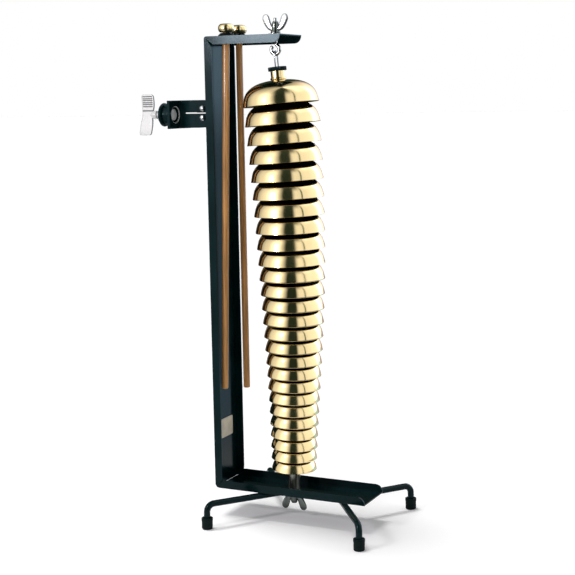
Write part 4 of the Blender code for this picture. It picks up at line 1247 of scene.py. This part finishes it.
class BELLTREE_OT_stage(bpy.types.Operator):
    """Adds the floor, the studio light and the camera"""

    bl_idname = "belltree.stage"
    bl_label = "Stage"

    def execute(self, context):
        studio = context.scene.bell_studio
        self.floor(context.scene)
        self.world(context.scene, studio)
        self.lamps(context.scene, studio)
        self.camera(context.scene, studio)
        return {"FINISHED"}

    def floor(self, scene):
        """A wide white floor."""
        mesh = bpy.data.meshes.new("studio_floor")
        reach = 40.0
        corners = [(-reach, -reach, 0.0), (reach, -reach, 0.0), (reach, reach, 0.0), (-reach, reach, 0.0)]
        mesh.from_pydata(corners, [], [(0, 1, 2, 3)])
        floor = bpy.data.objects.new("studio_floor", mesh)
        scene.collection.objects.link(floor)
        floor.data.materials.append(self.paper())

    def paper(self):
        """White paper that keeps the shadow. The camera sees it a little brighter than it is lit.

        In gloss, past half a metre, it carries the studio's panels on.
        """
        paper = Finish("studio_paper", (0.97, 0.97, 0.97))
        paper.shader.inputs["Roughness"].default_value = 0.9
        paper.shader.inputs["Specular IOR Level"].default_value = 0.0
        paper.shader.inputs["Emission Strength"].default_value = 1.0
        paper.made.cycles.emission_sampling = "NONE"
        nodes, links = paper.tree.nodes, paper.tree.links
        coords = nodes.new("ShaderNodeTexCoord")
        length = nodes.new("ShaderNodeVectorMath")
        length.operation = "LENGTH"
        far = nodes.new("ShaderNodeMapRange")
        far.interpolation_type = "SMOOTHSTEP"
        far.inputs["From Min"].default_value = 0.25
        far.inputs["From Max"].default_value = 0.5
        path = nodes.new("ShaderNodeLightPath")
        both = nodes.new("ShaderNodeMath")
        both.operation = "MULTIPLY"
        walls = paper.place("studio_walls")
        dimmed = nodes.new("ShaderNodeVectorMath")
        dimmed.operation = "SCALE"
        dimmed.inputs["Scale"].default_value = 0.34
        links.new(walls.outputs["Color"], dimmed.inputs[0])
        lifted = nodes.new("ShaderNodeVectorMath")
        lifted.operation = "SCALE"
        lifted.inputs[0].default_value = (0.12, 0.12, 0.125)
        links.new(path.outputs["Is Camera Ray"], lifted.inputs["Scale"])
        links.new(coords.outputs["Object"], length.inputs[0])
        links.new(coords.outputs["Object"], walls.inputs["Vector"])
        links.new(length.outputs["Value"], far.inputs["Value"])
        links.new(far.outputs["Result"], both.inputs[0])
        links.new(path.outputs["Is Glossy Ray"], both.inputs[1])
        for target, low, high in (
            ("Base Color", (*paper.base, 1.0), (0.0, 0.0, 0.0, 1.0)),
            ("Emission Color", lifted.outputs["Vector"], dimmed.outputs["Vector"]),
        ):
            mix = nodes.new("ShaderNodeMix")
            mix.data_type = "RGBA"
            links.new(both.outputs["Value"], mix.inputs["Factor"])
            for label, value in (("A", low), ("B", high)):
                if isinstance(value, tuple):
                    mix.inputs[label].default_value = value
                else:
                    links.new(value, mix.inputs[label])
            links.new(mix.outputs["Result"], paper.shader.inputs[target])
        return paper.made

    def world(self, scene, studio):
        """White to the camera, even light on what is matt, and the studio's panels in gloss."""
        world = bpy.data.worlds.new("studio")
        scene.world = world
        world.use_nodes = True
        nodes, links = world.node_tree.nodes, world.node_tree.links
        coords = nodes.new("ShaderNodeTexCoord")
        walls = nodes.new("ShaderNodeGroup")
        walls.node_tree = groups_made["studio_walls"]
        path = nodes.new("ShaderNodeLightPath")
        gloss = nodes.new("ShaderNodeMix")
        gloss.data_type = "RGBA"
        gloss.inputs["A"].default_value = (studio.ambient, studio.ambient, studio.ambient, 1.0)
        seen = nodes.new("ShaderNodeMix")
        seen.data_type = "RGBA"
        seen.inputs["B"].default_value = (1.0, 1.0, 1.0, 1.0)
        links.new(coords.outputs["Generated"], walls.inputs["Vector"])
        links.new(path.outputs["Is Glossy Ray"], gloss.inputs["Factor"])
        links.new(walls.outputs["Color"], gloss.inputs["B"])
        links.new(path.outputs["Is Camera Ray"], seen.inputs["Factor"])
        links.new(gloss.outputs["Result"], seen.inputs["A"])
        links.new(seen.outputs["Result"], nodes["Background"].inputs["Color"])

    def lamps(self, scene, studio):
        """A broad sun for the floor's shadow, and a soft lamp level with the stand's top at the left."""
        sun = bpy.data.lights.new("shadow_sun", "SUN")
        sun.energy = studio.sun
        sun.angle = math.radians(20)
        self.hung(scene, sun, Vector((-0.3, 0.05, 1.3)), Vector((0.0, 0.0, 0.3))).visible_glossy = False
        key = bpy.data.lights.new("key_lamp", "AREA")
        key.shape = "RECTANGLE"
        key.size = 0.22
        key.size_y = 0.22
        key.energy = studio.key
        key.color = (1.0, 0.93, 0.97)
        self.hung(scene, key, Vector((-0.535, -1.165, 0.88)), Vector((0.01, -0.04, 0.757)))

    def hung(self, scene, light, place, aim):
        """Puts a lamp at a place and points it at another."""
        lamp = bpy.data.objects.new(light.name, light)
        scene.collection.objects.link(lamp)
        turn = (aim - place).to_track_quat("-Z", "Y").to_matrix().to_4x4()
        lamp.matrix_world = Matrix.Translation(place) @ turn
        return lamp

    def camera(self, scene, studio):
        """The photograph's view."""
        view = bpy.data.cameras.new("studio_camera")
        view.sensor_width = 36.0
        view.lens = studio.lens
        camera = bpy.data.objects.new("studio_camera", view)
        scene.collection.objects.link(camera)
        turn = Matrix.Rotation(studio.heading, 4, "Z") @ Matrix.Rotation(studio.tilt, 4, "X")
        turn = turn @ Matrix.Rotation(studio.roll, 4, "Y") @ Matrix.Rotation(math.pi / 2, 4, "X")
        camera.matrix_world = Matrix.Translation((studio.right, studio.ahead, studio.rise)) @ turn
        scene.camera = camera
        scene.view_settings.view_transform = "Standard"


class BELLTREE_PT_panel(bpy.types.Panel):
    """Lists the steps that dress the bell tree"""

    bl_label = "Bell Tree"
    bl_idname = "BELLTREE_PT_panel"
    bl_space_type = "VIEW_3D"
    bl_region_type = "UI"
    bl_category = "Bell Tree"

    def draw(self, context):
        for step in steps:
            self.layout.operator(step.bl_idname)


steps = [
    BELLTREE_OT_finishes,
    BELLTREE_OT_stand,
    BELLTREE_OT_bells,
    BELLTREE_OT_string,
    BELLTREE_OT_fasteners,
    BELLTREE_OT_mallets,
    BELLTREE_OT_clamp,
    BELLTREE_OT_stage,
]
settings = {
    "bell_stand": StandSizes,
    "bell_sizes": BellSizes,
    "bell_string": StringSizes,
    "bell_clamp": ClampSizes,
    "bell_colours": FinishColours,
    "bell_studio": StudioSizes,
}


def register():
    """Registers the groups, the operators and the panel."""
    for name, group in settings.items():
        bpy.utils.register_class(group)
        setattr(bpy.types.Scene, name, PointerProperty(type=group))
    for step in (*steps, BELLTREE_PT_panel):
        bpy.utils.register_class(step)


def unregister():
    """Takes everything back out."""
    for step in (BELLTREE_PT_panel, *reversed(steps)):
        bpy.utils.unregister_class(step)
    for name, group in settings.items():
        delattr(bpy.types.Scene, name)
        bpy.utils.unregister_class(group)


def main():
    """Dresses the part."""
    register()
    bpy.ops.belltree.finishes()
    bpy.ops.belltree.stand()
    bpy.ops.belltree.bells()
    bpy.ops.belltree.string()
    bpy.ops.belltree.fasteners()
    bpy.ops.belltree.mallets()
    bpy.ops.belltree.clamp()
    bpy.ops.belltree.stage()


if __name__ == "__main__":
    main()
